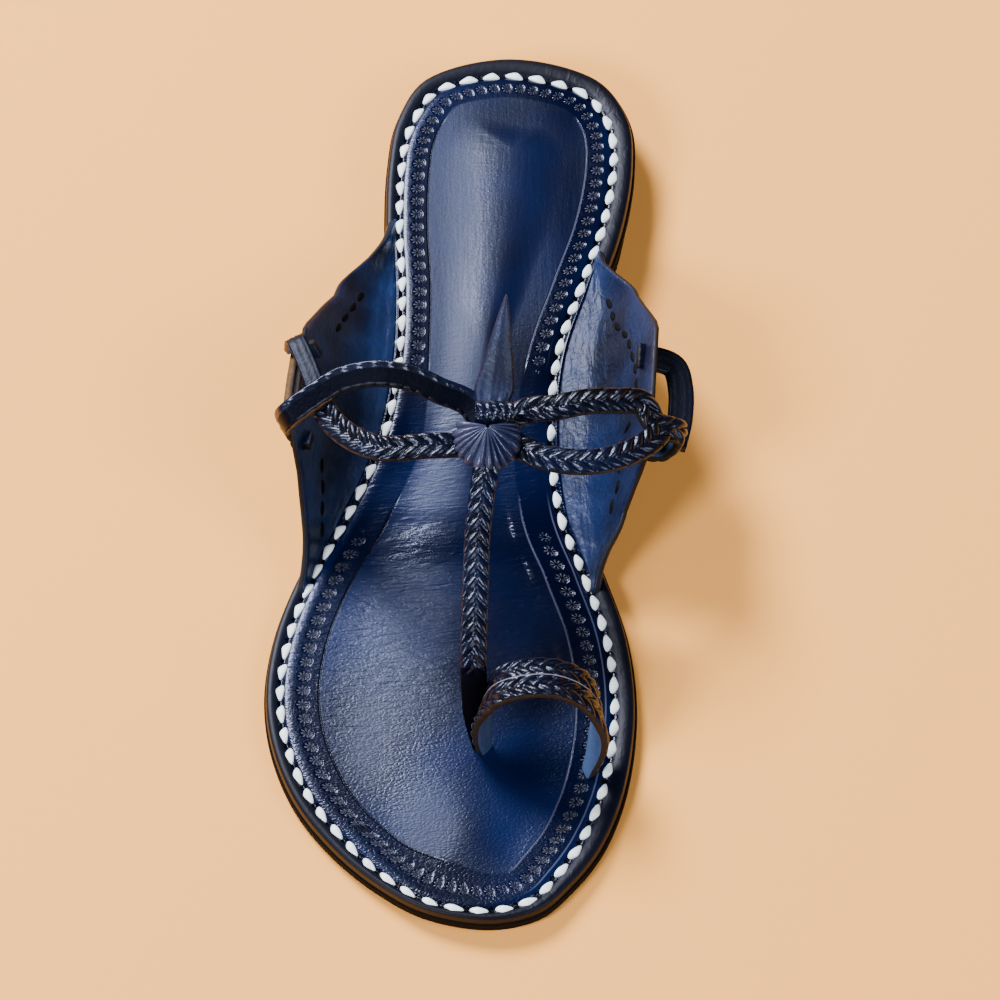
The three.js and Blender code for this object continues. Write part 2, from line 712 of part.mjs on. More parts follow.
function makeRosette() {
  const around = 4 * PLEATS;
  const rings = ROSETTE_ROWS.map(({ radius, rise, pleat }) => Array.from({ length: around }, (_, i) => {
    const angle = 2 * Math.PI * i / around;
    const height = (rise + pleat * Math.cos(PLEATS * angle)) * STRAP_THICKNESS;
    const across = radius * ROSETTE_RADIUS * Math.cos(angle);
    const back = radius * ROSETTE_RADIUS * Math.sin(angle);
    return [across, back < 0 ? back * FAN_REACH : back, height];
  }));
  const wrap = roundedBlock(1.15 * ROSETTE_RADIUS, 0.85 * ROSETTE_RADIUS, STRAP_THICKNESS);
  wrap.translate(0.15 * ROSETTE_RADIUS, 0.45 * ROSETTE_RADIUS, 0);
  const seat = place(KNOT).addScaledVector(UP, STRAP_THICKNESS);
  const turn = new THREE.Matrix4().makeRotationX(Math.atan2(-UP.y, UP.z));
  turn.setPosition(seat.x, seat.y, seat.z);
  return loft(rings).add(solidFrom(wrap)).transform(turn.toArray());
}

// Tongue point: a leather spike that rises behind the rosette. at and rise: shares of its length
const TONGUE_ROWS = [
  { at: 0, width: 0.8, rise: 0 },
  { at: 0.08, width: 0.92, rise: 0.02 },
  { at: 0.16, width: 1, rise: 0.05 },
  { at: 0.34, width: 0.84, rise: 0.13 },
  { at: 0.52, width: 0.64, rise: 0.23 },
  { at: 0.72, width: 0.42, rise: 0.35 },
  { at: 0.88, width: 0.22, rise: 0.45 },
  { at: 1, width: 0.06, rise: 0.52 },
];
const TONGUE_LEAN = 0.13;

function makeTonguePoint() {
  const start = place(KNOT).addScaledVector(UP, STRAP_THICKNESS);
  start.y += 0.9 * ROSETTE_RADIUS + CLEARANCE;
  const rings = TONGUE_ROWS.map(({ at, width, rise }) => {
    const half = TONGUE_WIDTH * width / 2;
    const thick = TONGUE_THICKNESS * Math.min(1, 0.3 + width);
    const x = start.x + TONGUE_LEAN * (0.3 + at) * TONGUE_LENGTH;
    const y = start.y + at * TONGUE_LENGTH * 0.85;
    const z = start.z + rise * TONGUE_LENGTH;
    return [
      [x - half, y, z], [x - half * 0.6, y, z + thick * 0.5], [x, y, z + thick * 0.7],
      [x + half * 0.6, y, z + thick * 0.5], [x + half, y, z], [x, y, z - thick * 0.3],
    ];
  });
  return loft(rings, true);
}

const NAVY = { color: 0x1b2440, roughness: 0.42, metalness: 0 };
const BRAID = { color: 0x0d1020, roughness: 0.35, metalness: 0 };
const EDGE = { color: 0x14110f, roughness: 0.6, metalness: 0 };

const group = new THREE.Group();

// Adds a solid to the group as a mesh of its own
function addPiece(name, solid, finish) {
  const { vertProperties, triVerts } = solid.getMesh();
  const geometry = new THREE.BufferGeometry();
  geometry.setAttribute('position', new THREE.BufferAttribute(Float32Array.from(vertProperties), 3));
  geometry.setIndex(new THREE.BufferAttribute(Uint32Array.from(triVerts), 1));
  geometry.computeVertexNormals();
  const mesh = new THREE.Mesh(geometry, new THREE.MeshStandardMaterial(finish));
  mesh.name = name;
  group.add(mesh);
}

const strapRoom = makeUpper(CLEARANCE);
const rosette = makeRosette();
const tonguePoint = makeTonguePoint();
const lateralRecess = makeEarRecess('lateral');
const medialRecess = makeEarRecess('medial');

addPiece('outsole', makeOutsole(), EDGE);
addPiece('heel', makeHeel(), EDGE);
addPiece('footbed', makeFootbed().subtract(lateralRecess).subtract(medialRecess).subtract(strapRoom), NAVY);
for (const name of ['lateral', 'medial']) {
  addPiece(`ear_${name}`, makeEarBlank(name).intersect(makeEarTrim(name)).subtract(strapRoom), NAVY);
}
addPiece('upper', makeUpper(0), BRAID);
addPiece('rosette', rosette.subtract(strapRoom), BRAID);
addPiece('tongue_point', tonguePoint.subtract(strapRoom), NAVY);

export default group;
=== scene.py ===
import math

import bpy
import numpy as np
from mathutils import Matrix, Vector


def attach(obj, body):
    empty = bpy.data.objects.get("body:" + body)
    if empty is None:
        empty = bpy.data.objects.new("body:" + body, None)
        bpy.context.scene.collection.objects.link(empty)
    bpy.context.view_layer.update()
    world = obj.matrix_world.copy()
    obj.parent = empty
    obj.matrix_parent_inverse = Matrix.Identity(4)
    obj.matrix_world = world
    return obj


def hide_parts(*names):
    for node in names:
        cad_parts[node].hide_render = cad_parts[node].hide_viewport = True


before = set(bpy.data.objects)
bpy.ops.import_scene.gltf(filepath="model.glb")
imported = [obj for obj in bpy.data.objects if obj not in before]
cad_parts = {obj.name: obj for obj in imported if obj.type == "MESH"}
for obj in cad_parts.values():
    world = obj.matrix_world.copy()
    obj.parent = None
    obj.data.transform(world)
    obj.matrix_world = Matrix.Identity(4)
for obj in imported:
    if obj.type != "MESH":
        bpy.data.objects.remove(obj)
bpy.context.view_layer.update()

# Sizes shared with the solids
LENGTH = 250.0
BALL_WIDTH = 90.0
SOLE_THICKNESS = 2.8
FOOTBED_THICKNESS = 2.3
HEEL_HEIGHT = 9.0
TOE_SPRING = 1.5
INSTEP_HEIGHT = 46.0
EAR_TOP = 39.0
EAR_THICKNESS = 1.8
LACE_INSET = 4.8
STRAP_WIDTH = 6.2
STRAP_THICKNESS = 2.4
THONG_THICKNESS = 1.8
BRAID_PITCH = 3.6
RING_WIDTH = 12.0
RING_HEIGHT = 30.0
ROSETTE_RADIUS = 7.4
TONGUE_LENGTH = 26.5
TONGUE_WIDTH = 9.6
TONGUE_THICKNESS = 1.6
CLEARANCE = 0.3
SLOT_DOWN = 9.0
TAIL_INSIDE = 1.6
OVER_EDGE = 2.8
SLOT_STEP = 0.004

BALL_AT = 0.25
TOE_CENTRE_AT = 0.1
FLAT_END_AT = 0.36
HEEL_FLAT_AT = 0.68
HEEL_BREAST_AT = 0.71
HEEL_CENTRE_AT = 0.875
RIM_SKEW = 0.15
END_SKEW = 0.42

# Sizes of the looks
STITCH_PITCH = 6.0
STITCH_LENGTH = 4.6
STITCH_WIDTH = 2.7
STITCH_HEIGHT = 0.95
LACE_SEAT = 0.66
LACE_HOLE = 1.0
CROWN = 1.1
FOOTBED_FOOT = 0.6
FLOWER_PITCH = 4.0
FLOWER_RADIUS = 1.65
PETALS = 8.0
SEAM_PITCH = 5.2
SEAM_DASH = 3.8
SEAM_HALF = 0.8
FAN_REACH = 1.42
PLEATS = 15
TONGUE_LEAN = 0.13

# Turn of a stitch out of the lacing's line, in degrees: the mean, and how far it varies
STITCH_TURN = (10, 5)

# Beside the ears the rim is lower: out to this share of LACE_INSET, by this share of its rise
SUNK_RIM_TO = 0.72
RIM_SUNK = 0.4

# Border of the footbed, inwards from the lacing: at the heel, at the forefoot
FLOWERS_AT = (4.2, 5.3)
SCORE_AT = (7.0, 9.2)
FINE_LINE_AT = 2.1

# along, lateral, medial: shares as in the solids
OUTLINE = [
    (0.012, -0.194, 0.106), (0.04, -0.322, 0.187), (0.08, -0.442, 0.267),
    (0.13, -0.544, 0.324), (0.19, -0.61, 0.358), (0.25, -0.633, 0.367),
    (0.32, -0.611, 0.345), (0.39, -0.548, 0.288), (0.46, -0.453, 0.222),
    (0.54, -0.362, 0.202), (0.62, -0.324, 0.22), (0.7, -0.317, 0.285),
    (0.78, -0.327, 0.351), (0.86, -0.322, 0.383), (0.92, -0.297, 0.372),
    (0.972, -0.218, 0.283),
]
TOE_TIP = (0.0, -0.022)
HEEL_TIP = (1.0, 0.028)

# inset (share of LACE_INSET), rise (share of FOOTBED_THICKNESS)
RELIEF = [
    (0.12, 0.45), (0.2, 0.86), (0.42, 1.0), (0.72, 0.92), (1.0, 0.66), (1.25, 0.94),
    (1.6, 1.03), (2.3, 1.0),
]

# lateral along, medial along, rise
EAR_OUTLINE = [
    (0.366, 0.366, 0), (0.398, 0.392, 0.19), (0.426, 0.424, 0.4), (0.446, 0.438, 0.68),
    (0.456, 0.446, 0.9), (0.467, 0.456, 1), (0.586, 0.586, 1), (0.598, 0.6, 0.93),
    (0.664, 0.662, 0.45), (0.728, 0.71, 0.2), (0.79, 0.75, 0),
]
LATERAL = dict(column=0, side=-1, front=-0.57, rear=-0.54, strap_out=1.5, thong_out=1.9, down=4.5, lean=0.0)
MEDIAL = dict(column=1, side=1, front=0.411, rear=0.436, strap_out=6.5, thong_out=8.0, down=6.0, lean=0.9)
EAR_FRONT_AT = 0.446
EAR_REAR_AT = 0.586
EAR_SKIVE = 1.0
EAR_ROOT = 1.5
EAR_BULGE = 0.62

# Seams on the ears' inner faces: along (share of LENGTH), t (share of the way up the face)
LATERAL_SEAMS = [
    [(0.69, 0.4), (0.672, 0.48), (0.636, 0.63), (0.608, 0.73)],
    [(0.488, 0.62), (0.47, 0.54), (0.45, 0.45), (0.426, 0.28), (0.414, 0.17)],
]
MEDIAL_SEAMS = [
    [(0.686, 0.33), (0.644, 0.51), (0.612, 0.68), (0.582, 0.76), (0.552, 0.82), (0.535, 0.83)],
    [(0.51, 0.78), (0.498, 0.68), (0.458, 0.63), (0.448, 0.57), (0.434, 0.52), (0.42, 0.45)],
]

# Soft-edged patches on the footbed: along (share of LENGTH), across (mm), half length (share of LENGTH),
# half width (mm), amount. POLISH_AND_SHEEN is a share of the full shine, which also lightens the colour as
# a painted sheen; PAINTED_SHADE is a share of the darkest painted shade; CREASES mm of depth
POLISH_AND_SHEEN = [
    (0.79, -13, 0.16, 8, 1.15), (0.61, -12, 0.06, 9, 1.1), (0.48, -15, 0.04, 10, 0.75),
    (0.35, -20, 0.06, 14, 0.4), (0.25, -22, 0.07, 16, 0.35), (0.19, -32, 0.05, 6, 0.6),
    (0.1, -18, 0.055, 9, 0.85), (0.33, 8, 0.03, 8, 0.1), (0.42, -18, 0.018, 18, -0.5),
]
# Painted shade: patches that darken the footbed's colour and lower its roughness
PAINTED_SHADE = [
    (0.41, 12, 0.1, 15, 1.1), (0.42, -18, 0.02, 20, 0.7), (0.17, 12, 0.03, 15, 0.9),
    (0.25, 10, 0.04, 12, 0.5), (0.53, -25, 0.03, 4, 0.8), (0.78, 18, 0.14, 6, 0.7),
    (0.93, 18, 0.04, 9, 0.6), (0.6, 12, 0.05, 8, 0.6), (0.27, -12, 0.02, 12, 0.3),
]
CREASES = [
    (0.525, -12, 0.008, 16, 0.2), (0.44, -14, 0.012, 22, 0.4), (0.395, 4, 0.01, 20, 0.25),
    (0.36, -18, 0.009, 20, 0.16), (0.3, -6, 0.012, 24, 0.2),
]

# along (share of LENGTH), across (share of BALL_WIDTH), up (share of INSTEP_HEIGHT)
KNOT = (0.446, -0.033, 1.0)
LATERAL_REAR_STRAP = [
    KNOT, (0.476, -0.086, 1.022), (0.486, -0.159, 1.054), (0.499, -0.234, 1.065),
    (0.507, -0.33, 1.048), (0.506, -0.424, 0.995), (0.498, -0.473, 0.962),
]
LATERAL_FRONT_STRAP = [
    KNOT, (0.433, -0.102, 1.0), (0.427, -0.201, 1.022), (0.426, -0.305, 1.005),
    (0.438, -0.373, 0.97), (0.459, -0.431, 0.93), (0.483, -0.473, 0.905),
]
MEDIAL_REAR_STRAP = [
    KNOT, (0.468, 0.075, 1.022), (0.467, 0.145, 1.054), (0.474, 0.231, 1.054),
    (0.479, 0.309, 1.022), (0.483, 0.383, 0.967),
]
MEDIAL_FRONT_STRAP = [
    KNOT, (0.429, 0.051, 1.0), (0.416, 0.112, 1.011), (0.41, 0.198, 1.011),
    (0.415, 0.281, 0.989), (0.431, 0.357, 0.946), (0.45, 0.41, 0.907), (0.474, 0.445, 0.88),
]
TOE_STRAP = [
    KNOT, (0.406, -0.037, 0.99), (0.379, -0.048, 0.945), (0.347, -0.059, 0.87),
    (0.303, -0.064, 0.772), (0.259, -0.068, 0.674), (0.237, -0.07, 0.596),
    (0.211, -0.066, 0.413), (0.195, -0.06, 0.217),
]
OVER_THONG = [LATERAL_FRONT_STRAP[-1], (0.51, -0.496, 0.905), (0.534, -0.518, 0.905)]
POST_FOOT = (0.188, -0.052)
POST_WIDE = 0.014
RING_TILT = 0.7
TOE_RING = [
    (0.19, -0.048, 0.36), (0.2, -0.041, 0.66), (0.205, -0.004, 0.93), (0.208, 0.075, 1.02),
    (0.208, 0.155, 1.0), (0.202, 0.226, 0.88), (0.19, 0.262, 0.63), (0.176, 0.256, 0.37),
]
RING_FOOT = (0.163, 0.232)

# at (share of TONGUE_LENGTH), width (share of TONGUE_WIDTH), rise (share of TONGUE_LENGTH)
TONGUE_ROWS = [
    (0, 0.8, 0), (0.08, 0.92, 0.02), (0.16, 1, 0.05), (0.34, 0.84, 0.13),
    (0.52, 0.64, 0.23), (0.72, 0.42, 0.35), (0.88, 0.22, 0.45), (1, 0.04, 0.52),
]

# Slots in the ears: along (share of LENGTH)
LATERAL_FRONT_SLOT_AT = 0.477
MEDIAL_FRONT_SLOT_AT = 0.467
LATERAL_REAR_SLOT_AT = 0.568
MEDIAL_REAR_SLOT_AT = 0.563

# A stretch past a strap's end, in shares of its length: one that isn't there
NOWHERE = (2.0, 2.0)

# Straight out of the instep, which slopes down towards the toe
UP = np.array([0.0, -0.3, 1.0]) / math.hypot(0.3, 1.0)


def unit(v):
    return v / np.linalg.norm(v)


def smoothstep(x, a, b):
    t = np.clip((np.asarray(x, float) - a) / (b - a), 0, 1)
    return t * t * (3 - 2 * t)


def lerp(a, b, t):
    return a + (b - a) * t


def y_at(along):
    return (along - BALL_AT) * LENGTH


def along_at(y):
    return y / LENGTH + BALL_AT


def sole_lift(y):
    along = along_at(np.asarray(y, float))
    toe = np.maximum(0, 1 - along / TOE_CENTRE_AT)
    return TOE_SPRING * toe * toe + HEEL_HEIGHT * smoothstep(along, FLAT_END_AT, HEEL_FLAT_AT)


def footbed_base(y):
    return sole_lift(y) + SOLE_THICKNESS + CLEARANCE


# Curves
def smooth_path(points, closed=False, per_span=24):
    """Centripetal Catmull-Rom through points, as in the solids."""
    pts = np.array(points, float)
    n = len(pts)
    w = (np.arange(per_span) / per_span)[:, None]
    out = []
    for i in range(n if closed else n - 1):
        p1, p2 = pts[i], pts[(i + 1) % n]
        p0 = pts[(i - 1) % n] if closed or i > 0 else 2 * pts[0] - pts[1]
        p3 = pts[(i + 2) % n] if closed or i + 2 < n else 2 * pts[-1] - pts[-2]
        steps = ((p0, p1), (p1, p2), (p2, p3))
        d0, d1, d2 = (max(math.sqrt(np.linalg.norm(b - a)), 1e-4) for a, b in steps)
        m1 = ((p1 - p0) / d0 - (p2 - p0) / (d0 + d1) + (p2 - p1) / d1) * d1
        m2 = ((p2 - p1) / d1 - (p3 - p1) / (d1 + d2) + (p3 - p2) / d2) * d1
        square = (-3 * p1 + 3 * p2 - 2 * m1 - m2) * w**2
        cube = (2 * p1 - 2 * p2 + m1 + m2) * w**3
        out.append(p1 + m1 * w + square + cube)
    out.append(pts[:1] if closed else pts[-1:])
    return np.vstack(out)


def lengths(path):
    return np.concatenate([[0], np.cumsum(np.linalg.norm(np.diff(path, axis=0), axis=1))])


def resample(path, count):
    s = lengths(path)
    at = np.linspace(0, s[-1], count)
    return np.stack([np.interp(at, s, path[:, k]) for k in range(path.shape[1])], axis=1), at


def make_outline():
    points = [(TOE_TIP[1] * BALL_WIDTH, y_at(TOE_TIP[0]))]
    points += [(lateral * BALL_WIDTH, y_at(along)) for along, lateral, medial in OUTLINE]
    points.append((HEEL_TIP[1] * BALL_WIDTH, y_at(HEEL_TIP[0])))
    points += [(medial * BALL_WIDTH, y_at(along)) for along, lateral, medial in reversed(OUTLINE)]
    return smooth_path(points, closed=True, per_span=21)


outline = make_outline()
edges = np.diff(outline, axis=0)


def meet_outline(x, y, dx, dy):
    """Distance along a ray to the outline, and the sine of the angle that they meet at."""
    a = outline[:-1]
    cross = dx * edges[:, 1] - dy * edges[:, 0]
    cross = np.where(np.abs(cross) < 1e-12, np.nan, cross)
    reach = ((a[:, 0] - x) * edges[:, 1] - (a[:, 1] - y) * edges[:, 0]) / cross
    share = ((a[:, 0] - x) * dy - (a[:, 1] - y) * dx) / cross
    ok = (reach > 0) & (share >= 0) & (share <= 1)
    i = np.nanargmin(np.where(ok, reach, np.inf))
    return reach[i], abs(cross[i]) / np.linalg.norm(edges[i])


def spine_at(along):
    y = y_at(along)
    return (meet_outline(0, y, 1, 0)[0] - meet_outline(0, y, -1, 0)[0]) / 2, y


def make_ribs(stations, cap):
    """Rows of root x, root y, dx, dy, reach, slant: from the spine to the outline, all round."""
    rows = []
    toe, heel = spine_at(TOE_CENTRE_AT), spine_at(HEEL_CENTRE_AT)
    alongs = np.linspace(TOE_CENTRE_AT, HEEL_CENTRE_AT, stations + 1)[1:-1]
    for angle in np.linspace(math.pi, 2 * math.pi, cap + 1):
        rows.append((*toe, math.cos(angle), math.sin(angle)))
    rows += [(*spine_at(along), 1.0, 0.0) for along in alongs]
    for angle in np.linspace(0, math.pi, cap + 1):
        rows.append((*heel, math.cos(angle), math.sin(angle)))
    rows += [(*spine_at(along), -1.0, 0.0) for along in alongs[::-1]]
    return np.array([(*row, *meet_outline(*row)) for row in rows])


ribs = make_ribs(stations=130, cap=46)


def rim_skew():
    """Insets are more than LACE_INSET says on the medial side and at the heel, and less at the toe."""
    return 1 + RIM_SKEW * ribs[:, 2] + END_SKEW * ribs[:, 3]


def inset_ring(inset):
    reach = ribs[:, 4] - inset * rim_skew() / ribs[:, 5]
    return ribs[:, 0] + ribs[:, 2] * reach, ribs[:, 1] + ribs[:, 3] * reach


def share_ring(share):
    return ribs[:, 0] + ribs[:, 2] * ribs[:, 4] * share, ribs[:, 1] + ribs[:, 3] * ribs[:, 4] * share


# Mesh building
class Shape:
    """Collects points, faces, material numbers and per-point values for one mesh."""

    def __init__(self):
        self.points, self.faces, self.finish, self.values = [], [], [], {}

    def grid(self, rings, finish=0, wrap=True, caps=False, edge_finish=None, edge_columns=()):
        """rings: rows of points of equal length, joined one to the next."""
        start = len(self.points)
        rings = np.asarray(rings, float)
        rows, count = rings.shape[:2]
        self.points.extend(map(tuple, rings.reshape(-1, 3)))
        for r in range(rows - 1):
            for i in range(count if wrap else count - 1):
                a, b = start + r * count + i, start + r * count + (i + 1) % count
                self.faces.append((a, b, b + count, a + count))
                self.finish.append(edge_finish if i in edge_columns else finish)
        if caps:
            end = finish if edge_finish is None else edge_finish
            self.faces.append(tuple(start + i for i in range(count))[::-1])
            self.faces.append(tuple(start + (rows - 1) * count + i for i in range(count)))
            self.finish += [end, end]

    def value(self, name, numbers):
        self.values.setdefault(name, []).extend(np.asarray(numbers, float).ravel())

    def build(self, name, materials, node=None, smooth=True):
        mesh = bpy.data.meshes.new(name)
        mesh.from_pydata([tuple(c * 0.001 for c in p) for p in self.points], [], self.faces)
        for material in materials:
            mesh.materials.append(material)
        mesh.polygons.foreach_set("material_index", self.finish)
        if smooth:
            mesh.shade_smooth()
        for key, numbers in self.values.items():
            mesh.attributes.new(key, "FLOAT", "POINT").data.foreach_set("value", numbers)
        mesh.validate()
        obj = bpy.data.objects.new(name, mesh)
        bpy.context.scene.collection.objects.link(obj)
        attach(obj, "root")
        if node:
            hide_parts(node)


# Materials
class Finish:
    """A node material: add(kind, inputs, settings) makes a node, math() does arithmetic on sockets."""

    def __init__(self, name):
        self.material = bpy.data.materials.new(name)
        self.material.use_nodes = True
        self.nodes = self.material.node_tree.nodes
        self.links = self.material.node_tree.links
        self.shader = self.nodes["Principled BSDF"]

    def add(self, kind, inputs=None, **settings):
        node = self.nodes.new(kind)
        for key, value in settings.items():
            setattr(node, key, value)
        for key, value in (inputs or {}).items():
            self.feed(node, key, value)
        return node

    def feed(self, node, key, value):
        if isinstance(value, bpy.types.NodeSocket):
            self.links.new(value, node.inputs[key])
        else:
            node.inputs[key].default_value = value

    def set(self, **values):
        for key, value in values.items():
            self.feed(self.shader, key.replace("_", " "), value)

    def math(self, operation, *values):
        return self.add("ShaderNodeMath", dict(enumerate(values)), operation=operation).outputs[0]

    def plus(self, a, b):
        return self.math("ADD", a, b)

    def minus(self, a, b):
        return self.math("SUBTRACT", a, b)

    def times(self, a, b):
        return self.math("MULTIPLY", a, b)

    def most(self, a, b):
        return self.math("MAXIMUM", a, b)

    def point_value(self, name):
        return self.add("ShaderNodeAttribute", attribute_name=name).outputs["Fac"]

    def place(self, scale=(1, 1, 1)):
        where = self.add("ShaderNodeTexCoord").outputs["Object"]
        return self.add("ShaderNodeMapping", {"Vector": where, "Scale": scale}).outputs[0]

    def noise(self, scale, detail=3.0, where=None, distortion=0.0):
        inputs = {"Scale": scale, "Detail": detail, "Distortion": distortion}
        inputs["Vector"] = where or self.place()
        return self.add("ShaderNodeTexNoise", inputs).outputs["Fac"]

    def cells(self, scale, where=None):
        inputs = {"Scale": scale, "Vector": where or self.place()}
        return self.add("ShaderNodeTexVoronoi", inputs, feature="DISTANCE_TO_EDGE").outputs["Distance"]

    def remap(self, value, a, b, low=0.0, high=1.0):
        inputs = {"Value": value, "From Min": a, "From Max": b, "To Min": low, "To Max": high}
        return self.add("ShaderNodeMapRange", inputs, interpolation_type="SMOOTHSTEP").outputs[0]

    def mix(self, share, a, b):
        node = self.add("ShaderNodeMix", data_type="RGBA")
        self.feed(node, 0, share)
        self.feed(node, 6, a)
        self.feed(node, 7, b)
        return node.outputs[2]

    def bump(self, height, strength, distance):
        inputs = {"Height": height, "Strength": strength, "Distance": distance}
        return self.add("ShaderNodeBump", inputs).outputs[0]


NAVY = (0.0012, 0.0058, 0.042, 1)
NAVY_DEEP = (0.0004, 0.0012, 0.010, 1)
BLACK = (0.0005, 0.0006, 0.002, 1)
WHITE = (0.90, 0.96, 1.0, 1)
SHEEN_TINT = (0.62, 0.70, 1.0, 1)
DULL_TINT = (0.26, 0.27, 0.34, 1)
PAINTED_SHEEN_BLUE = (0.009, 0.014, 0.055, 1)
RIM_BLACK = (0.0008, 0.0012, 0.004, 1)
PALE_AND_HIGHLIGHT = (0.10, 0.11, 0.20, 1)


def stamped_flowers(f):
    """Round stamps with petals, one per pitch: how deep each is, and how much its petals catch light."""
    mark = f.point_value("mark")
    cell = f.minus(f.math("FRACT", f.math("DIVIDE", f.point_value("along"), FLOWER_PITCH)), 0.5)
    px = f.times(cell, FLOWER_PITCH)
    py = f.point_value("flower")
    wobble = f.times(f.minus(f.noise(900, 2.0), 0.5), 0.35)
    radius = f.plus(f.math("SQRT", f.plus(f.times(px, px), f.times(py, py))), wobble)
    petal = f.remap(f.math("COSINE", f.times(f.math("ARCTAN2", py, px), PETALS)), 0.0, 0.8)
    petals = f.times(petal, f.times(f.remap(radius, 0.35, 0.55), f.remap(radius, 1.5, 1.15)))
    pit = f.remap(radius, FLOWER_RADIUS + 0.2, FLOWER_RADIUS - 0.6)
    stamp = f.times(f.times(pit, f.minus(1.0, petals)), mark)
    return stamp, f.times(f.times(petals, mark), f.remap(radius, 1.7, 1.4))


def lace_holes(f, to_lace):
    """1 in the lacing's holes, which lie between the stitches. The footbed's colour paints them black as
    painted shade.
    """
    gap = f.times(f.minus(f.math("FRACT", f.point_value("stitch")), 0.5), STITCH_PITCH)
    away = f.math("SQRT", f.plus(f.times(gap, gap), f.times(to_lace, to_lace)))
    return f.remap(away, LACE_HOLE, 0.6 * LACE_HOLE)


def footbed_grain(f, rim, inner_side):
    """Height of the grain: fine pebbles at the toe, ripples over the ball, brushed lines at the heel."""
    shift = f.times(f.noise(260, 2.0), 0.0012)
    crumpled = f.add("ShaderNodeVectorMath", {0: f.place((0.6, 1.1, 1)), 1: shift}, operation="ADD")
    pebbles = f.remap(f.cells(1300, crumpled.outputs[0]), 0.0, 0.3)
    ripple = f.noise(640, 3.0, f.place((0.3, 1.25, 1)), 1.0)
    brushed = f.noise(700, 3.0, f.place((1.3, 0.16, 1)), 0.4)
    ball, toe = f.point_value("ripple"), f.point_value("pebble")
    heel = f.minus(1.0, f.most(ball, toe))
    grain = f.plus(f.times(pebbles, f.times(toe, 0.22)), f.times(ripple, f.plus(0.45, ball)))
    grain = f.plus(grain, f.times(brushed, f.times(heel, 0.3)))
    grain = f.plus(grain, f.times(f.noise(1500, 2.0), 0.25))
    wrinkles = f.noise(330, 4.0, f.place((1, 0.6, 1)), 1.5)
    rim_grain = f.times(wrinkles, f.plus(0.5, f.times(inner_side, 0.9)))
    return f.add("ShaderNodeMix", {0: rim, 2: grain, 3: rim_grain}).outputs[0]


def footbed_finish():
    f = Finish("glazed footbed leather")
    to_lace, from_score = f.point_value("inset"), f.point_value("score")
    scored, inner_side, painted_shade = f.point_value("scored"), f.point_value("medial"), f.point_value("painted_shade")
    stamp, petal_light = stamped_flowers(f)
    hole = lace_holes(f, to_lace)
    # the scored line, with painted shade in its groove on the lateral side and a painted highlight along it
    # on the medial one, and a fine pale line by the lacing
    line = f.times(f.remap(f.math("ABSOLUTE", from_score), 0.36, 0.08), scored)
    painted_line_shade = f.times(line, f.minus(1.0, f.times(inner_side, 0.8)))
    fine = f.remap(f.math("ABSOLUTE", f.minus(to_lace, FINE_LINE_AT)), 0.28, 0.08)
    fine = f.times(fine, f.point_value("second"))
    # the dark rim outside the lacing and the darker border inside it
    rim = f.times(f.remap(to_lace, -0.2, -1.2), f.point_value("open"))
    border = f.times(f.remap(from_score, 0.5, -0.3), f.remap(to_lace, 1.6, 3.4))
    border = f.times(border, f.plus(0.3, f.times(scored, 0.7)))
    outside = f.times(f.remap(from_score, 0.5, -0.3), 0.95)
    # shine patches: a broad soft shine from higher roughness, with the colour lightened there as a painted
    # sheen; deep glossy leather elsewhere
    soft = f.noise(45, 3.0, f.place((1, 0.6, 1)), 0.5)
    polish_and_sheen = f.times(f.point_value("polish_and_sheen"), f.remap(soft, 0.25, 0.6, 0.7, 1.1))
    polish_and_sheen = f.times(polish_and_sheen, f.minus(1.0, outside))
    tone = f.mix(f.remap(f.noise(22, 2.0), 0.35, 0.65), NAVY_DEEP, NAVY)
    # painted sheen: the colour turns a lighter blue where the shine patches are
    tone = f.mix(f.times(f.remap(polish_and_sheen, 0.0, 1.0), 0.5), tone, PAINTED_SHEEN_BLUE)
    tone = f.mix(f.times(border, 0.75), tone, NAVY_DEEP)
    # painted shade: a darker navy where the painted shade patches are
    tone = f.mix(f.times(painted_shade, 0.95), tone, NAVY_DEEP)
    tone = f.mix(f.times(rim, 0.9), tone, RIM_BLACK)
    # the stamps' dark pits, and painted shade in the lateral scored line's groove
    dark = f.most(f.times(stamp, 0.9), f.times(painted_line_shade, 0.85))
    # the fine pale line, and painted highlights on the medial scored line and on the petals
    pale = f.times(f.most(fine, f.times(line, inner_side)), 0.45)
    pale = f.most(pale, f.times(petal_light, 0.5))
    # the lacing's holes are painted black: painted shade
    colour = f.mix(pale, f.mix(f.most(dark, hole), tone, BLACK), PALE_AND_HIGHLIGHT)
    rough = f.plus(f.remap(polish_and_sheen, 0.0, 1.0, 0.3, 0.5), f.times(stamp, 0.05))
    rough = f.plus(rough, f.times(rim, 0.15))
    rough = f.minus(rough, f.times(f.minus(outside, rim), 0.06))
    rough = f.minus(rough, f.times(painted_shade, 0.14))
    cut = f.plus(f.plus(stamp, line), hole)
    height = f.minus(f.times(footbed_grain(f, rim, inner_side), 0.42), cut)
    tint = f.mix(f.most(rim, f.times(outside, 0.6)), SHEEN_TINT, DULL_TINT)
    f.set(Base_Color=colour, Roughness=rough, Specular_Tint=tint)
    f.set(Normal=f.bump(height, 0.7, 0.0004))
    return f.material


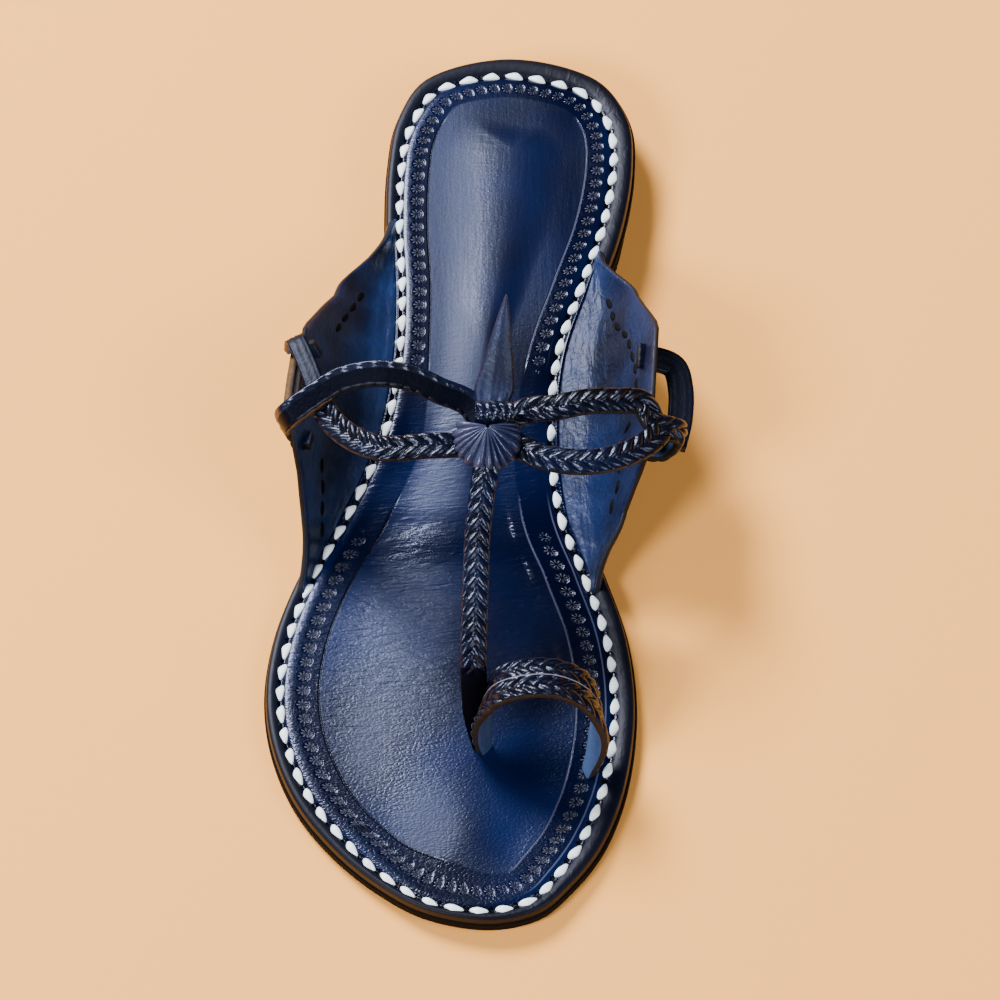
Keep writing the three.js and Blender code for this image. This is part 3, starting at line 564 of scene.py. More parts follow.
def plain_leather(name, colour, deep, roughness, wrinkle=0.5, stretch=(1, 1, 1), strength=0.6, gloss=0.5):
    f = Finish(name)
    soft = f.noise(60, 4.0)
    pebbles = f.noise(1000, 3.0)
    creases = f.noise(300, 4.0, f.place(stretch), 1.2)
    height = f.plus(f.times(pebbles, 0.35), f.times(creases, wrinkle))
    tone = f.mix(f.remap(soft, 0.3, 0.7), deep, colour)
    # darker towards the hollows of the pebbles and creases: painted shade
    f.set(Base_Color=f.mix(f.remap(height, 0.3, 0.65, 0.4, 0.0), tone, BLACK), Roughness=roughness)
    f.set(Specular_Tint=SHEEN_TINT, Specular_IOR_Level=gloss, Normal=f.bump(height, strength, 0.0006))
    return f.material


def sole_finish():
    f = Finish("sole edge leather")
    f.set(Specular_IOR_Level=0.08)
    layers = f.noise(700, 3.0, f.place((0.15, 0.15, 1.6)))
    f.set(Base_Color=f.mix(layers, BLACK, (0.003, 0.002, 0.002, 1)), Roughness=0.7)
    f.set(Normal=f.bump(layers, 0.5, 0.0003))
    return f.material


def edge_finish(name, low, high, gloss=0.3):
    f = Finish(name)
    f.set(Specular_IOR_Level=gloss)
    fibres = f.noise(900, 4.0)
    f.set(Base_Color=f.mix(fibres, low, high), Roughness=0.7)
    f.set(Normal=f.bump(fibres, 0.5, 0.0003))
    return f.material


def lace_finish():
    f = Finish("white lacing leather")
    fibres = f.noise(1200, 3.0)
    f.set(Base_Color=f.mix(fibres, (0.70, 0.80, 0.88, 1), WHITE), Roughness=0.45)
    f.set(Normal=f.bump(fibres, 0.2, 0.0002))
    return f.material


FOOTBED = footbed_finish()
# the lateral ear's leather is lighter than the medial ear's: painted light on the inner face that the lamps
# leave dark
EAR_LATERAL_PAINTED_LIGHTER = plain_leather(
    "lateral ear leather", (0.008, 0.024, 0.100, 1), NAVY_DEEP, 0.4, wrinkle=0.6, stretch=(1, 0.3, 0.6))
EAR_MEDIAL = plain_leather(
    "medial ear leather", (0.003, 0.012, 0.062, 1), NAVY_DEEP, 0.45,
    wrinkle=1.0, stretch=(1.6, 0.5, 0.6), strength=0.7, gloss=0.4)
TONGUE = plain_leather(
    "tongue leather", (0.010, 0.016, 0.062, 1), (0.002, 0.004, 0.020, 1), 0.45,
    wrinkle=0.4, strength=0.7, gloss=0.4)
BRAID = plain_leather(
    "braided leather", (0.0025, 0.005, 0.025, 1), BLACK, 0.28, wrinkle=0.4, strength=0.5, gloss=0.36)
# the fan's leather is lighter than the other navy leathers: its own colour with a painted highlight
PLEATED_WITH_HIGHLIGHT = plain_leather(
    "pleated leather", (0.070, 0.078, 0.160, 1), (0.010, 0.014, 0.050, 1), 0.3, strength=0.4)
# near-black plain leather: the folded strap's own plain face, and painted shade on the toe post
PLAIN_BLACK_AND_SHADE = plain_leather(
    "folded strap leather", (0.0012, 0.0016, 0.006, 1), BLACK, 0.4, strength=0.5, gloss=0.06)
THONG = plain_leather(
    "thong leather", (0.005, 0.006, 0.018, 1), (0.001, 0.002, 0.006, 1), 0.45,
    wrinkle=0.6, stretch=(0.4, 0.4, 1.5), strength=0.5, gloss=0.2)
FLESH = plain_leather(
    "flesh side of the straps", (0.060, 0.115, 0.290, 1), (0.035, 0.070, 0.180, 1), 0.5, wrinkle=0.3)
SOLE = sole_finish()
CUT_DARK = edge_finish("dark cut edge", (0.001, 0.001, 0.0015, 1), (0.003, 0.002, 0.003, 1))
CUT_BROWN = edge_finish("brown cut edge", (0.003, 0.002, 0.002, 1), (0.020, 0.010, 0.006, 1))
CUT_TAN = edge_finish("tan cut edge", (0.03, 0.015, 0.007, 1), (0.16, 0.080, 0.030, 1))
RING_SEAM = edge_finish("ring seam", (0.06, 0.06, 0.09, 1), (0.17, 0.17, 0.22, 1))
THREAD = edge_finish("seam thread", (0.0004, 0.0004, 0.0006, 1), (0.002, 0.0015, 0.002, 1), 0.1)
LACE = lace_finish()

# The upper's materials, and the number of each in that list
UPPER_MATERIALS = [BRAID, THONG, CUT_DARK, CUT_TAN, FLESH, RING_SEAM, CUT_BROWN, PLAIN_BLACK_AND_SHADE]
TOP, PLAIN, EDGE_DARK, EDGE_TAN, UNDER, SEAM, EDGE_BROWN, FLAT_AND_SHADE = range(len(UPPER_MATERIALS))


# Footbed and sole
def smooth_relief():
    """Insets from the rim and rises of the footbed's top above its base, in mm."""
    fine = smooth_path([(0.1, 0.0), *RELIEF, (3.2, 1.0)], per_span=6)
    return fine[:, 0] * LACE_INSET, fine[:, 1] * FOOTBED_THICKNESS


def footbed_point(x, y, rise):
    return np.stack([x, y, footbed_base(y) + rise], axis=-1)


def ear_cover(along):
    """1 where an ear stands beside the footbed's rim, 0 elsewhere. along: of each rib at the lacing."""
    rows = np.array(EAR_OUTLINE)
    lateral = np.interp(along, rows[:, 0], rows[:, 2])
    medial = np.interp(along, rows[:, 1], rows[:, 2])
    return smoothstep(np.where(ribs[:, 2] > 0, medial, lateral), 0.0, 0.3)


def make_footbed():
    shape = Shape()
    insets, rises = smooth_relief()
    cover = ear_cover(along_at(inset_ring(LACE_INSET)[1]))
    rings = [footbed_point(*inset_ring(FOOTBED_FOOT), 0)]
    inset_rows = [np.full(len(ribs), FOOTBED_FOOT)]
    for inset, rise in zip(insets, rises):
        sunk = rise * (1 - RIM_SUNK * cover) if inset < SUNK_RIM_TO * LACE_INSET else rise
        rings.append(footbed_point(*inset_ring(inset), sunk))
        inset_rows.append(np.full(len(ribs), inset))
    edge_x, edge_y = inset_ring(insets[-1])
    reach = np.hypot(edge_x - ribs[:, 0], edge_y - ribs[:, 1])
    for share in np.linspace(1, 0, 34)[1:]:
        x, y = ribs[:, 0] + (edge_x - ribs[:, 0]) * share, ribs[:, 1] + (edge_y - ribs[:, 1]) * share
        rings.append(footbed_point(x, y, rises[-1] + crown(share) - patches(CREASES, x, y)))
        inset_rows.append(insets[-1] + reach * (1 - share) * ribs[:, 5])
    shape.grid(rings)
    add_footbed_values(shape, rings, np.array(inset_rows), cover)
    shape.build("footbed", [FOOTBED], "footbed")


def add_footbed_values(shape, rings, inset, cover):
    """What the footbed's material reads at each point: distances in mm, and shares of each mark."""
    lace = np.stack(inset_ring(LACE_INSET), axis=1)
    run = lengths(np.vstack([lace, lace[:1]]))
    total, run = run[-1], run[:-1]
    along = along_at(np.array([ring[:, 1] for ring in rings]))
    rib_along = along_at(lace[:, 1])
    forefoot = 1 - smoothstep(rib_along, 0.5, 0.66)
    to_lace = (inset - LACE_INSET) * rim_skew()
    everywhere = np.ones((len(rings), 1))
    shape.value("along", everywhere * run * (round(total / FLOWER_PITCH) * FLOWER_PITCH / total))
    shape.value("stitch", everywhere * run * (round(total / STITCH_PITCH) / total))
    shape.value("inset", to_lace)
    shape.value("flower", to_lace - lerp(*FLOWERS_AT, forefoot))
    shape.value("mark", everywhere * mark_share(rib_along))
    shape.value("score", to_lace - lerp(*SCORE_AT, forefoot))
    shape.value("scored", everywhere * score_share(rib_along))
    shape.value("second", everywhere * (score_share(rib_along) * (ribs[:, 2] > 0) * forefoot))
    shape.value("ripple", smoothstep(along, 0.1, 0.3) * (1 - smoothstep(along, 0.52, 0.62)))
    shape.value("pebble", 1 - smoothstep(along, 0.12, 0.44))
    shape.value("open", everywhere * (1 - cover))
    shape.value("medial", everywhere * smoothstep(ribs[:, 2], 0.1, 0.7))
    shape.value("painted_shade", [patches(PAINTED_SHADE, ring[:, 0], ring[:, 1]) for ring in rings])
    shape.value("polish_and_sheen", [patches(POLISH_AND_SHEEN, ring[:, 0], ring[:, 1]) for ring in rings])


def crown(share):
    """Rise of the footbed towards its middle line. share: 1 at the lacing's inner side, 0 at the line."""
    return CROWN * (1 - share * share) ** 2.5


def patches(rows, x, y):
    """Sum of soft round-edged patches at points x, y."""
    total = np.zeros(len(x))
    for along, across, half_length, half_width, amount in rows:
        away = ((along_at(y) - along) / half_length) ** 2 + ((x - across) / half_width) ** 2
        total += amount * np.exp(-(away**1.15))
    return total


def mark_share(along):
    """Flowers: all round but for the waist under the straps, and fainter at both ends."""
    waist = smoothstep(along, 0.4, 0.44) * (1 - smoothstep(along, 0.6, 0.64))
    toe = lerp(0.2, 1, smoothstep(along, 0.0, 0.07))
    heel = lerp(1, 0.5, smoothstep(along, 0.9, 0.97))
    return (1 - waist) * toe * heel


def score_share(along):
    """Scored line: all round but for the waist, the toe's tip and the heel's end."""
    waist = smoothstep(along, 0.44, 0.48) * (1 - smoothstep(along, 0.6, 0.64))
    return smoothstep(along, 0.02, 0.04) * (1 - smoothstep(along, 0.9, 0.94)) * (1 - waist)


def make_outsole():
    t = SOLE_THICKNESS
    shape = Shape()
    # share of the way from the spine to the edge or inset from the edge, rise
    profile = [(0.55, None, 0), (None, 0.3 * t, 0), (None, 0.1 * t, 0.08 * t), (None, 0, 0.25 * t),
               (None, 0, 0.5 * t), (None, 0.03 * t, 0.56 * t), (None, 0, 0.62 * t), (None, 0, 0.82 * t),
               (None, 0.06 * t, 0.94 * t), (None, 0.2 * t, t), (0.55, None, t), (0.0, None, t)]
    rings = []
    x, y = share_ring(0)
    rings.append(np.stack([x, y, sole_lift(y)], axis=1))
    for share, inset, rise in profile:
        x, y = share_ring(share) if inset is None else inset_ring(inset)
        rings.append(np.stack([x, y, sole_lift(y) + rise], axis=1))
    shape.grid(rings)
    shape.build("outsole", [SOLE], "outsole")


def make_heel():
    shape = Shape()
    breast = y_at(HEEL_BREAST_AT)
    x, y = inset_ring(SOLE_THICKNESS / 3)
    keep = y > breast
    order = np.flatnonzero(keep)
    px, py = x[order], y[order]
    px = np.concatenate([[px[0]], px, [px[-1]]])
    py = np.concatenate([[breast], py, [breast]])
    centre = (px[0] + px[-1]) / 2
    front = np.linspace(0, 1, 14)[1:-1]
    bend = 2 * front * (1 - front) * HEEL_HEIGHT / 3
    px = np.concatenate([px, lerp(px[-1], px[0], front)])
    py = np.concatenate([py, breast + bend])
    top = HEEL_HEIGHT - CLEARANCE
    # rise, inset: three lifts of leather with a fine groove between them
    layers = [(0, 0.35), (0.3, 0), (2.75, 0), (2.95, 0.25), (3.15, 0)]
    layers += [(5.65, 0), (5.85, 0.25), (6.05, 0), (top - 0.2, 0), (top, 0.2)]
    rings = []
    cy = py.mean()
    for z, inset in layers:
        d = np.stack([px - centre, py - cy], axis=1)
        size = np.linalg.norm(d, axis=1, keepdims=True)
        p = np.stack([px, py], axis=1) - d / size * inset
        rings.append(np.column_stack([p, np.full(len(p), z)]))
    shape.grid(rings, caps=True)
    shape.build("heel", [SOLE], "heel", smooth=False)


# White lacing
def make_lacing():
    """Stitches shaped like drops, straight on the inner side, each turned a little."""
    shape = Shape()
    x, y = inset_ring(LACE_INSET)
    path = np.stack([x, y], axis=1)
    path = np.vstack([path, path[:1]])
    total = lengths(path)[-1]
    count = round(total / STITCH_PITCH)
    spots, _ = resample(path, 8 * count + 1)
    rise = LACE_SEAT * FOOTBED_THICKNESS
    a = np.linspace(-1, 1, 13)
    b = np.linspace(-1, 1, 9)
    wide = (1 - np.abs((a + 0.12) / np.where(a < -0.12, 0.88, 1.12)) ** 1.5) * 0.95 + 0.05
    for k in range(count):
        here = spots[8 * k]
        ahead = unit(spots[(8 * k + 1) % (8 * count)] - spots[(8 * k - 1) % (8 * count)])
        out = np.array([ahead[1], -ahead[0]])
        slant = math.radians(STITCH_TURN[0] + STITCH_TURN[1] * math.sin(k * 1.7))
        forward = ahead * math.cos(slant) + out * math.sin(slant)
        outward = out * math.cos(slant) - ahead * math.sin(slant)
        wobble = 1 + 0.06 * math.sin(k * 2.3)
        rows = []
        for ai, w in zip(a, wide):
            across = (np.where(b > 0, b * (0.1 + 0.6 * w), b * 0.3 * w**0.5) - 0.1) * STITCH_WIDTH
            p = here + forward * (ai * STITCH_LENGTH / 2 * wobble) + outward * across[:, None]
            lift = STITCH_HEIGHT * np.sqrt(np.maximum(0, 1 - b**2)) * w**0.6
            z = footbed_base(p[:, 1]) + rise + lift
            top = np.column_stack([p, z])
            under = np.column_stack([p[::-1], z[::-1] * 0 + footbed_base(p[::-1, 1]) + rise - 0.3])
            rows.append(np.vstack([top, under[1:-1]]))
        shape.grid(rows, caps=True)
    shape.build("lacing", [LACE])


# Ears
def lace_x(side, y):
    spine = spine_at(along_at(y))
    reach, slant = meet_outline(*spine, side, 0.0)
    return spine[0] + side * (reach - LACE_INSET * (1 + RIM_SKEW * side) / slant)


def ear_curve(ear, y):
    """Root, bulge and top of the ear's section in x, and the height of its root."""
    share = (along_at(y) - EAR_FRONT_AT) / (EAR_REAR_AT - EAR_FRONT_AT)
    root = lace_x(ear["side"], y) + ear["side"] * EAR_ROOT
    top = lerp(ear["front"], ear["rear"], share) * BALL_WIDTH
    rows = np.array(EAR_OUTLINE)
    rise = np.interp(along_at(y), rows[:, ear["column"]], rows[:, 2])
    edge = root + ear["side"] * (LACE_INSET - EAR_ROOT)
    top = lerp(edge, top, float(smoothstep(rise, -0.05, 0.4)))
    return root, lerp(root, top, EAR_BULGE), top, float(footbed_base(y))


def ear_face(ear, y, t):
    root, bulge, top, base = ear_curve(ear, y)
    x = (1 - t) ** 2 * root + 2 * t * (1 - t) * bulge + t * t * top
    z = base + t * t * (EAR_TOP - base)
    slope_x = 2 * (1 - t) * (bulge - root) + 2 * t * (top - bulge)
    slope_z = 2 * t * (EAR_TOP - base)
    size = math.hypot(slope_x, slope_z)
    return np.array([x, y, z]), np.array([ear["side"] * slope_z / size, 0, -abs(slope_x) / size])


def beside_ear(ear, along, down, out):
    y = y_at(along)
    base = float(footbed_base(y))
    t = math.sqrt(min(1, (EAR_TOP - down - base) / (EAR_TOP - base)))
    point, normal = ear_face(ear, y, t)
    return point + normal * out + np.array([0, 0, max(0, -down)])


def ear_height(ear, along):
    """Height of the ear's trimmed edge at a distance along."""
    rows = np.array(EAR_OUTLINE)
    rise = np.interp(along, rows[:, ear["column"]], rows[:, 2])
    base = footbed_base(y_at(along))
    margin = EAR_SKIVE + EAR_THICKNESS / 2
    return base + margin + rise * (EAR_TOP - base - margin)


def make_ear(name, ear, leather, seams):
    shape = Shape()
    rows = np.array(EAR_OUTLINE)
    alongs = []
    for a, b in zip(rows[:-1, ear["column"]], rows[1:, ear["column"]]):
        alongs += list(np.linspace(a, b, max(4, int((b - a) * LENGTH / 1.1)), endpoint=False))
    alongs.append(rows[-1, ear["column"]])
    side = ear["side"]
    sections = []
    for along in alongs:
        y = y_at(along)
        base = float(footbed_base(y))
        top_t = math.sqrt(min(1.0, max(0.02, (ear_height(ear, along) - base) / (EAR_TOP - base))))
        outer, inner = [], []
        for t in np.linspace(0, top_t, 30):
            point, normal = ear_face(ear, y, t)
            edge = float(smoothstep(t / top_t, 0.93, 1.0))
            root = float(smoothstep(t, 0.06, 0.0))
            wave = ear_wave(ear, along, t)
            outer.append(point + normal * (wave - 0.4 * edge))
            inner.append(point - normal * (EAR_THICKNESS - wave - 0.4 * edge - 0.5 * root))
        sections.append(outer + inner[::-1])
    shape.grid(sections, wrap=True, caps=True, edge_finish=1, edge_columns=(29,))
    for seam in seams:
        add_seam(shape, ear, seam)
    shape.build(name, [leather, CUT_DARK, THREAD], name)


def ear_wave(ear, along, t):
    """Folds of the ear's leather: one along its root and soft waves across it."""
    fold = math.exp(-(((t - 0.2) / 0.05) ** 2)) - 0.8 * math.exp(-(((t - 0.3) / 0.06) ** 2))
    waves = math.sin(along * 150 + 4 * t) * t * (1 - t)
    return ear["side"] * (0.4 * waves) - 0.16 * fold


def inner_face(ear, along, t, off):
    point, normal = ear_face(ear, y_at(along), t)
    return point - normal * (EAR_THICKNESS - ear_wave(ear, along, t) + off)


def add_seam(shape, ear, seam):
    """Dashes of dark thread on the ear's inner face. seam: rows of along, t on the face."""
    path = smooth_path(seam, per_span=20)
    line = np.array([inner_face(ear, along, t, 0.05) for along, t in path])
    s = lengths(line)
    for start in np.arange(0.5, s[-1] - 3.2, SEAM_PITCH):
        rings = []
        for at in np.linspace(start, start + SEAM_DASH, 9):
            p = np.array([np.interp(at, s, line[:, k]) for k in range(3)])
            q = np.array([np.interp(at + 0.1, s, line[:, k]) for k in range(3)])
            ahead = unit(q - p)
            if abs(ahead[1]) < 0.5:
                out = unit(np.cross(ahead, [0, 1, 0.2]))
            else:
                out = unit(np.array([-ear["side"], 0, 0.8]))
            cross = unit(np.cross(out, ahead))
            from_middle = (at - start - SEAM_DASH / 2) / (SEAM_DASH / 2 + 0.05)
            w = SEAM_HALF * math.sqrt(max(0.02, 1 - from_middle**2))
            turns = np.linspace(0, 2 * math.pi, 9)[:-1]
            rings.append([p + cross * (w * math.cos(v)) + out * (0.35 * w * math.sin(v)) for v in turns])
        shape.grid(rings, finish=2, caps=True)


# Straps
def frames_along(points, spacing, up, tilt):
    fine = smooth_path(points, per_span=40)
    count = max(4, round(lengths(fine)[-1] / spacing)) + 1
    path, s = resample(fine, count)
    tangents = np.gradient(path, axis=0)
    normal = np.array(up, float)
    sides, normals = [], []
    for i, t in enumerate(tangents):
        t = unit(t)
        normal = unit(normal - t * np.dot(normal, t))
        side = np.cross(normal, t)
        angle = tilt(s[i] / s[-1]) if tilt else 0
        sides.append(side * math.cos(angle) - normal * math.sin(angle))
        normals.append(normal * math.cos(angle) + side * math.sin(angle))
    return path, s, np.array(sides), np.array(normals)


def strand_row(across, s, centre, half, shift, slope=0.9):
    """One row of slanted strands side by side: 0 to 1."""
    fall = np.sqrt(np.maximum(0, 1 - ((across - centre) / half) ** 2))
    phase = s / BRAID_PITCH - slope * np.abs(across) + shift
    return fall * np.abs(np.sin(math.pi * phase)) ** 0.45


def braid_height(across, s):
    """Two rows of overlapping strands that meet in chevrons along the middle: 0 to 1."""
    return np.maximum(strand_row(across, s, -0.46, 0.6, 0.0), strand_row(across, s, 0.46, 0.6, 0.5))


def folded_height(across, s):
    """A strap seen on its plain side: a row of strands behind, small nubs along the front edge."""
    rear = strand_row(across, s, -0.74, 0.32, 0.0)
    front = 0.6 * strand_row(across, s, 0.93, 0.16, 0.0, 0.0)
    return np.maximum(np.maximum(rear, front), 0.5 - 0.42 * across)


def top_rise(columns, s, share, thick, braid, rows, plain_from):
    """Height of a strap's top over its middle line, across its width."""
    if not braid:
        return thick * (1 - 0.12 * np.abs(columns) ** 4 - 0.12 * np.cos(columns * 10))
    across = columns if rows == 1 else 2 * np.abs(columns) - 1
    rise = thick * (0.15 + 0.95 * braid(across, s))
    plain = float(smoothstep(share, plain_from, plain_from + 0.03))
    rise = lerp(rise, thick * (0.8 - 0.3 * across**2), plain)
    if rows == 2:
        rise = np.where(np.abs(columns) < 0.03, 0.95 * thick, rise)
    return rise


def sweep(shape, points, width, thickness, up, braid=None, rows=1, taper=None, tilt=None,
          finish=TOP, light_between=NOWHERE, light=EDGE_TAN, plain_from=NOWHERE[0], folded=False):
    """A strap along points: finish on top, the flesh side below, dark cut edges with a light stretch.

    Past plain_from the braid turns into plain near-black leather, which on the toe post is painted shade.
    folded: the top is plain but for its rear quarter.
    """
    path, s, sides, normals = frames_along(points, 0.28 if braid else 0.6, up, tilt)
    columns = np.linspace(-1, 1, (19 if braid else 9) * rows)
    under = np.array([0.96, 0.5, 0, -0.5, -0.96])
    n = len(columns)
    start = len(shape.faces)
    thick = thickness / 2
    rings = []
    for i, p in enumerate(path):
        share = s[i] / s[-1]
        half = width / 2 * (taper(share) if taper else 1)
        rise = top_rise(columns, s[i], share, thick, braid, rows, plain_from)
        top = p + sides[i] * (columns * half)[:, None] + normals[i] * rise[:, None]
        sunk = thick * (1 - 0.2 * np.abs(under) ** 4)
        low = p + sides[i] * (under * half)[:, None] - normals[i] * sunk[:, None]
        rings.append(np.vstack([top, low]))
    shape.grid(rings, finish=finish, caps=True, edge_finish=EDGE_DARK, edge_columns=(n - 1, n + 4))
    for k in range(start, len(shape.faces) - 2):
        row, column = divmod(k - start, n + len(under))
        share = row / len(path)
        if n <= column < n + 4:
            shape.finish[k] = UNDER
        elif shape.finish[k] == EDGE_DARK and light_between[0] < share < light_between[1]:
            shape.finish[k] = light
        elif column < n - 1 and (share > plain_from or folded and columns[column] > -0.45):
            shape.finish[k] = FLAT_AND_SHADE
        elif rows == 2 and column == n // 2 - 1 and 0.22 < share < 0.8:
            shape.finish[k] = SEAM


def place(row, height=INSTEP_HEIGHT):
    along, across, up = row
    return np.array([across * BALL_WIDTH, y_at(along), up * height])


def foot_point(row, rise):
    along, across = row
    return np.array([across * BALL_WIDTH, y_at(along), float(footbed_base(y_at(along))) + rise])


def rear_strap(shape, rows, ear, at, braid, **looks):
    """From the knot over the ear's edge, down its outer face and in through a slot."""
    out = ear["strap_out"]
    points = [place(row) for row in rows]
    points += [
        beside_ear(ear, at, -OVER_EDGE, 0), beside_ear(ear, at, 0, out),
        beside_ear(ear, at, SLOT_DOWN / 2, out), beside_ear(ear, at, 0.9 * SLOT_DOWN, 0.7 * out),
        beside_ear(ear, at, SLOT_DOWN, 0), beside_ear(ear, at, SLOT_DOWN, -EAR_THICKNESS - TAIL_INSIDE),
    ]
    sweep(shape, points, STRAP_WIDTH, STRAP_THICKNESS, UP, braid, **looks)


def outer_thong(shape, ear, front, rear, light_between=NOWHERE):
    """The stretch along the ear's outer face, from slot to slot."""
    out, down, lean = ear["thong_out"], ear["down"], ear["lean"]
    points = [
        beside_ear(ear, front, down, ear["strap_out"]), beside_ear(ear, lerp(front, rear, 0.35), down, out),
        beside_ear(ear, lerp(front, rear, 0.75), down, out), beside_ear(ear, rear, down, 0.75 * out),
        beside_ear(ear, rear + SLOT_STEP, down, 0),
        beside_ear(ear, rear + SLOT_STEP, down, -EAR_THICKNESS - TAIL_INSIDE),
    ]
    normal = ear_face(ear, y_at(front), 0.9)[1]
    up = (lerp(normal[0], -normal[0], lean / 2), 0, lerp(normal[2], 1, lean))
    sweep(shape, points, STRAP_WIDTH, THONG_THICKNESS, up, finish=PLAIN, light_between=light_between)


def over_thong(shape, ear, rear):
    """The lateral front strap's end, which runs back over the ear's edge."""
    points = [place(row) for row in OVER_THONG]
    points += [
        beside_ear(ear, rear, -THONG_THICKNESS, ear["thong_out"] / 2),
        beside_ear(ear, rear, THONG_THICKNESS, ear["thong_out"]),
    ]
    width = 0.75 * STRAP_WIDTH
    sweep(shape, points, width, THONG_THICKNESS, UP, finish=PLAIN, light_between=(0.75, 0.97))


def post_taper(share):
    return lerp(1, 0.5, float(smoothstep(share, 0.82, 1)))


def ring_taper(share):
    start, end = float(smoothstep(share, 0, 0.3)), 1 - float(smoothstep(share, 0.75, 1))
    return lerp(0.3, 1, min(start, end))


def ring_tilt(share):
    return RING_TILT * (1 - float(smoothstep(share, 0, 0.4)) + float(smoothstep(share, 0.6, 1)))


def make_upper():
    shape = Shape()
    rear_strap(shape, LATERAL_REAR_STRAP, LATERAL, LATERAL_FRONT_SLOT_AT, folded_height,
               light_between=(0.62, 0.84), folded=True)
    rear_strap(shape, MEDIAL_REAR_STRAP, MEDIAL, MEDIAL_FRONT_SLOT_AT, braid_height)
    for rows in (LATERAL_FRONT_STRAP, MEDIAL_FRONT_STRAP):
        sweep(shape, [place(row) for row in rows], STRAP_WIDTH, STRAP_THICKNESS, UP, braid_height)
    outer_thong(shape, LATERAL, LATERAL_FRONT_SLOT_AT, LATERAL_REAR_SLOT_AT, (0.0, 0.68))
    outer_thong(shape, MEDIAL, MEDIAL_FRONT_SLOT_AT, MEDIAL_REAR_SLOT_AT)
    over_thong(shape, LATERAL, LATERAL_REAR_SLOT_AT)
    foot = 2 * CLEARANCE + THONG_THICKNESS / 3
    toe = [place(row) for row in TOE_STRAP] + [foot_point(POST_FOOT, foot)]
    # past 0.7 the toe strap turns plain near-black: painted shade on the post
    sweep(shape, toe, STRAP_WIDTH, STRAP_THICKNESS, UP, braid_height, taper=post_taper, plain_from=0.7)
    ring = [foot_point((POST_FOOT[0], POST_FOOT[1] + POST_WIDE), foot)]
    ring += [place(row, RING_HEIGHT) for row in TOE_RING] + [foot_point(RING_FOOT, foot)]
    sweep(shape, ring, RING_WIDTH, STRAP_THICKNESS, (-1, 0, 0), braid_height, rows=2,
          taper=ring_taper, tilt=ring_tilt, light_between=(0.0, 1.0), light=EDGE_BROWN)
    shape.build("upper", UPPER_MATERIALS, "upper")


# Rosette and tongue
def seat_frame():
    """Middle of the rosette on the knot, and the directions to its right and its rear."""
    forward = unit(np.array([0.0, -UP[2], UP[1]]))
    return place(KNOT) + UP * STRAP_THICKNESS, np.array([1.0, 0, 0]), -forward


def make_rosette():
    shape = Shape()
    seat, right, back = seat_frame()
    angles = np.linspace(math.radians(-193), math.radians(13), 361)
    turn = np.linspace(0, PLEATS, 361) + 0.25 * np.sin(angles * 5)
    fold = np.abs(np.sin(math.pi * turn)) ** 0.7
    reach = np.where(np.sin(angles) < 0, lerp(1.0, FAN_REACH, -np.minimum(np.sin(angles), 0)), 1.0)
    rings = []
    for radius, rise, pleat in [(0.05, 1.1, 0.0), (0.2, 1.12, 0.12), (0.45, 1.0, 0.3), (0.7, 0.82, 0.4),
                                (0.92, 0.55, 0.42), (1.0, 0.2, 0.3), (0.97, -0.2, 0.1), (0.85, -0.35, 0)]:
        r = ROSETTE_RADIUS * radius * reach * (1 + 0.07 * (fold - 0.5) * (radius > 0.6))
        h = (rise + pleat * (fold - 0.6)) * STRAP_THICKNESS
        x, y = r * np.cos(angles), r * np.sin(angles)
        rings.append(seat + right * x[:, None] + back * y[:, None] + UP * h[:, None])
    shape.grid(rings, wrap=False)
    wrap = []
    for u in np.linspace(-0.4, 0.86, 60):
        across = seat + right * (u * ROSETTE_RADIUS)
        line = []
        for v in np.linspace(-1, 1, 31):
            rib = 0.3 * abs(math.sin(u * 13 + 2.4 * abs(v))) ** 0.6 + 0.1 * math.sin(v * 11 + u * 17)
            h = (0.1 + 1.05 * (1 - abs(v) ** 3)) * STRAP_THICKNESS + rib
            line.append(across + back * ((0.48 + 0.46 * v) * ROSETTE_RADIUS) + UP * h)
        line += [across + back * ((0.48 - 0.4 * v) * ROSETTE_RADIUS) - UP * 0.1 for v in (-1, 0, 1)]
        wrap.append(line)
    shape.grid(wrap, caps=True, finish=1)
    shape.build("rosette", [PLEATED_WITH_HIGHLIGHT, BRAID], "rosette")


def make_tongue():
    shape = Shape()
    start = place(KNOT) + UP * STRAP_THICKNESS
    start[1] += 0.9 * ROSETTE_RADIUS + CLEARANCE
    rings = []
    across = np.linspace(-1, 1, 17)
    for at, width, rise in smooth_path(TONGUE_ROWS, per_span=10):
        half = TONGUE_WIDTH * width / 2
        thick = TONGUE_THICKNESS * min(1, 0.3 + width)
        x = start[0] + TONGUE_LEAN * (0.3 + at) * TONGUE_LENGTH
        y = start[1] + at * TONGUE_LENGTH * 0.85
        z = start[2] + rise * TONGUE_LENGTH
        folds = 0.3 * np.cos(across * 9 + 1) * max(0, 1 - at * 2.2)
        top = [(x + half * a, y, z + thick * 0.7 * (1 - a * a) + f) for a, f in zip(across, folds)]
        low = [(x + half * a, y, z - thick * 0.3 * (1 - a * a)) for a in across[::-1][1:-1]]
        rings.append(top + low)
    shape.grid(rings, caps=True)
    shape.build("tongue_point", [TONGUE], "tongue_point")


make_outsole()
make_heel()
make_footbed()
make_lacing()
make_ear("ear_lateral", LATERAL, EAR_LATERAL_PAINTED_LIGHTER, LATERAL_SEAMS)
make_ear("ear_medial", MEDIAL, EAR_MEDIAL, MEDIAL_SEAMS)
make_upper()
make_rosette()
make_tongue()


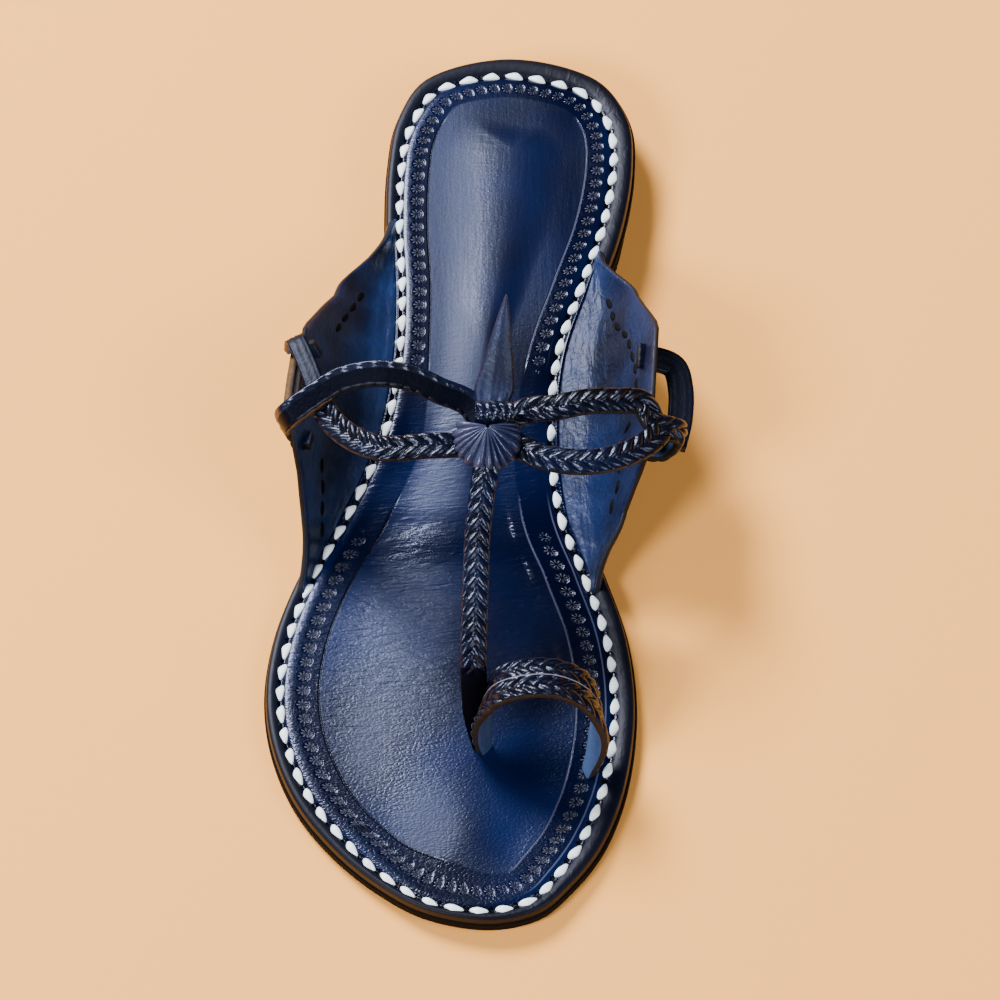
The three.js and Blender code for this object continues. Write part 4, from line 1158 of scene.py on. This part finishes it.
# Stage, light and camera, in metres
FLOOR_HALF = 4.0
FLOOR_COLOUR = (0.96, 0.42, 0.085, 1)
WORLD_COLOUR = (1.0, 0.97, 0.93, 1)
WORLD_STRENGTH = 0.075
LIGHTS_AIM = (0, 0.06, 0.02)
# name, place, size, power in watts
LIGHTS = [
    ("rear softbox", (-0.66, 0.95, 1.15), 0.6, 62),
    ("key", (-1.05, -0.95, 1.25), 0.6, 42),
    ("front fill", (1.0, -0.6, 1.1), 0.8, 15),
]
CAMERA_AIM = (0, 0.05504, 0.00672)
CAMERA_ELEVATION = math.radians(57)
CAMERA_DISTANCE = 1.3
CAMERA_LENS = 190
CAMERA_SENSOR = 36


def link(name, data):
    obj = bpy.data.objects.new(name, data)
    bpy.context.scene.collection.objects.link(obj)
    return obj


def look_at(obj, where, at):
    obj.location = where
    obj.rotation_euler = (Vector(at) - Vector(where)).to_track_quat("-Z", "Y").to_euler()


def make_floor():
    f = Finish("pale floor")
    f.set(Base_Color=FLOOR_COLOUR, Roughness=0.95)
    mesh = bpy.data.meshes.new("floor")
    h = FLOOR_HALF
    mesh.from_pydata([(-h, -h, 0), (h, -h, 0), (h, h, 0), (-h, h, 0)], [], [(0, 1, 2, 3)])
    mesh.materials.append(f.material)
    floor = link("floor", mesh)


def make_world():
    world = bpy.data.worlds.new("studio")
    world.use_nodes = True
    background = world.node_tree.nodes["Background"]
    background.inputs["Color"].default_value = WORLD_COLOUR
    background.inputs["Strength"].default_value = WORLD_STRENGTH
    bpy.context.scene.world = world


def make_light(name, where, size, power):
    data = bpy.data.lights.new(name, "AREA")
    data.shape, data.size, data.energy = "DISK", size, power
    light = link(name, data)
    look_at(light, where, LIGHTS_AIM)


def make_camera():
    data = bpy.data.cameras.new("camera")
    data.lens, data.sensor_width = CAMERA_LENS, CAMERA_SENSOR
    camera = link("camera", data)
    back = Vector((0, -math.cos(CAMERA_ELEVATION), math.sin(CAMERA_ELEVATION)))
    look_at(camera, Vector(CAMERA_AIM) + CAMERA_DISTANCE * back, CAMERA_AIM)
    bpy.context.scene.camera = camera


make_floor()
make_world()
for light in LIGHTS:
    make_light(*light)
make_camera()
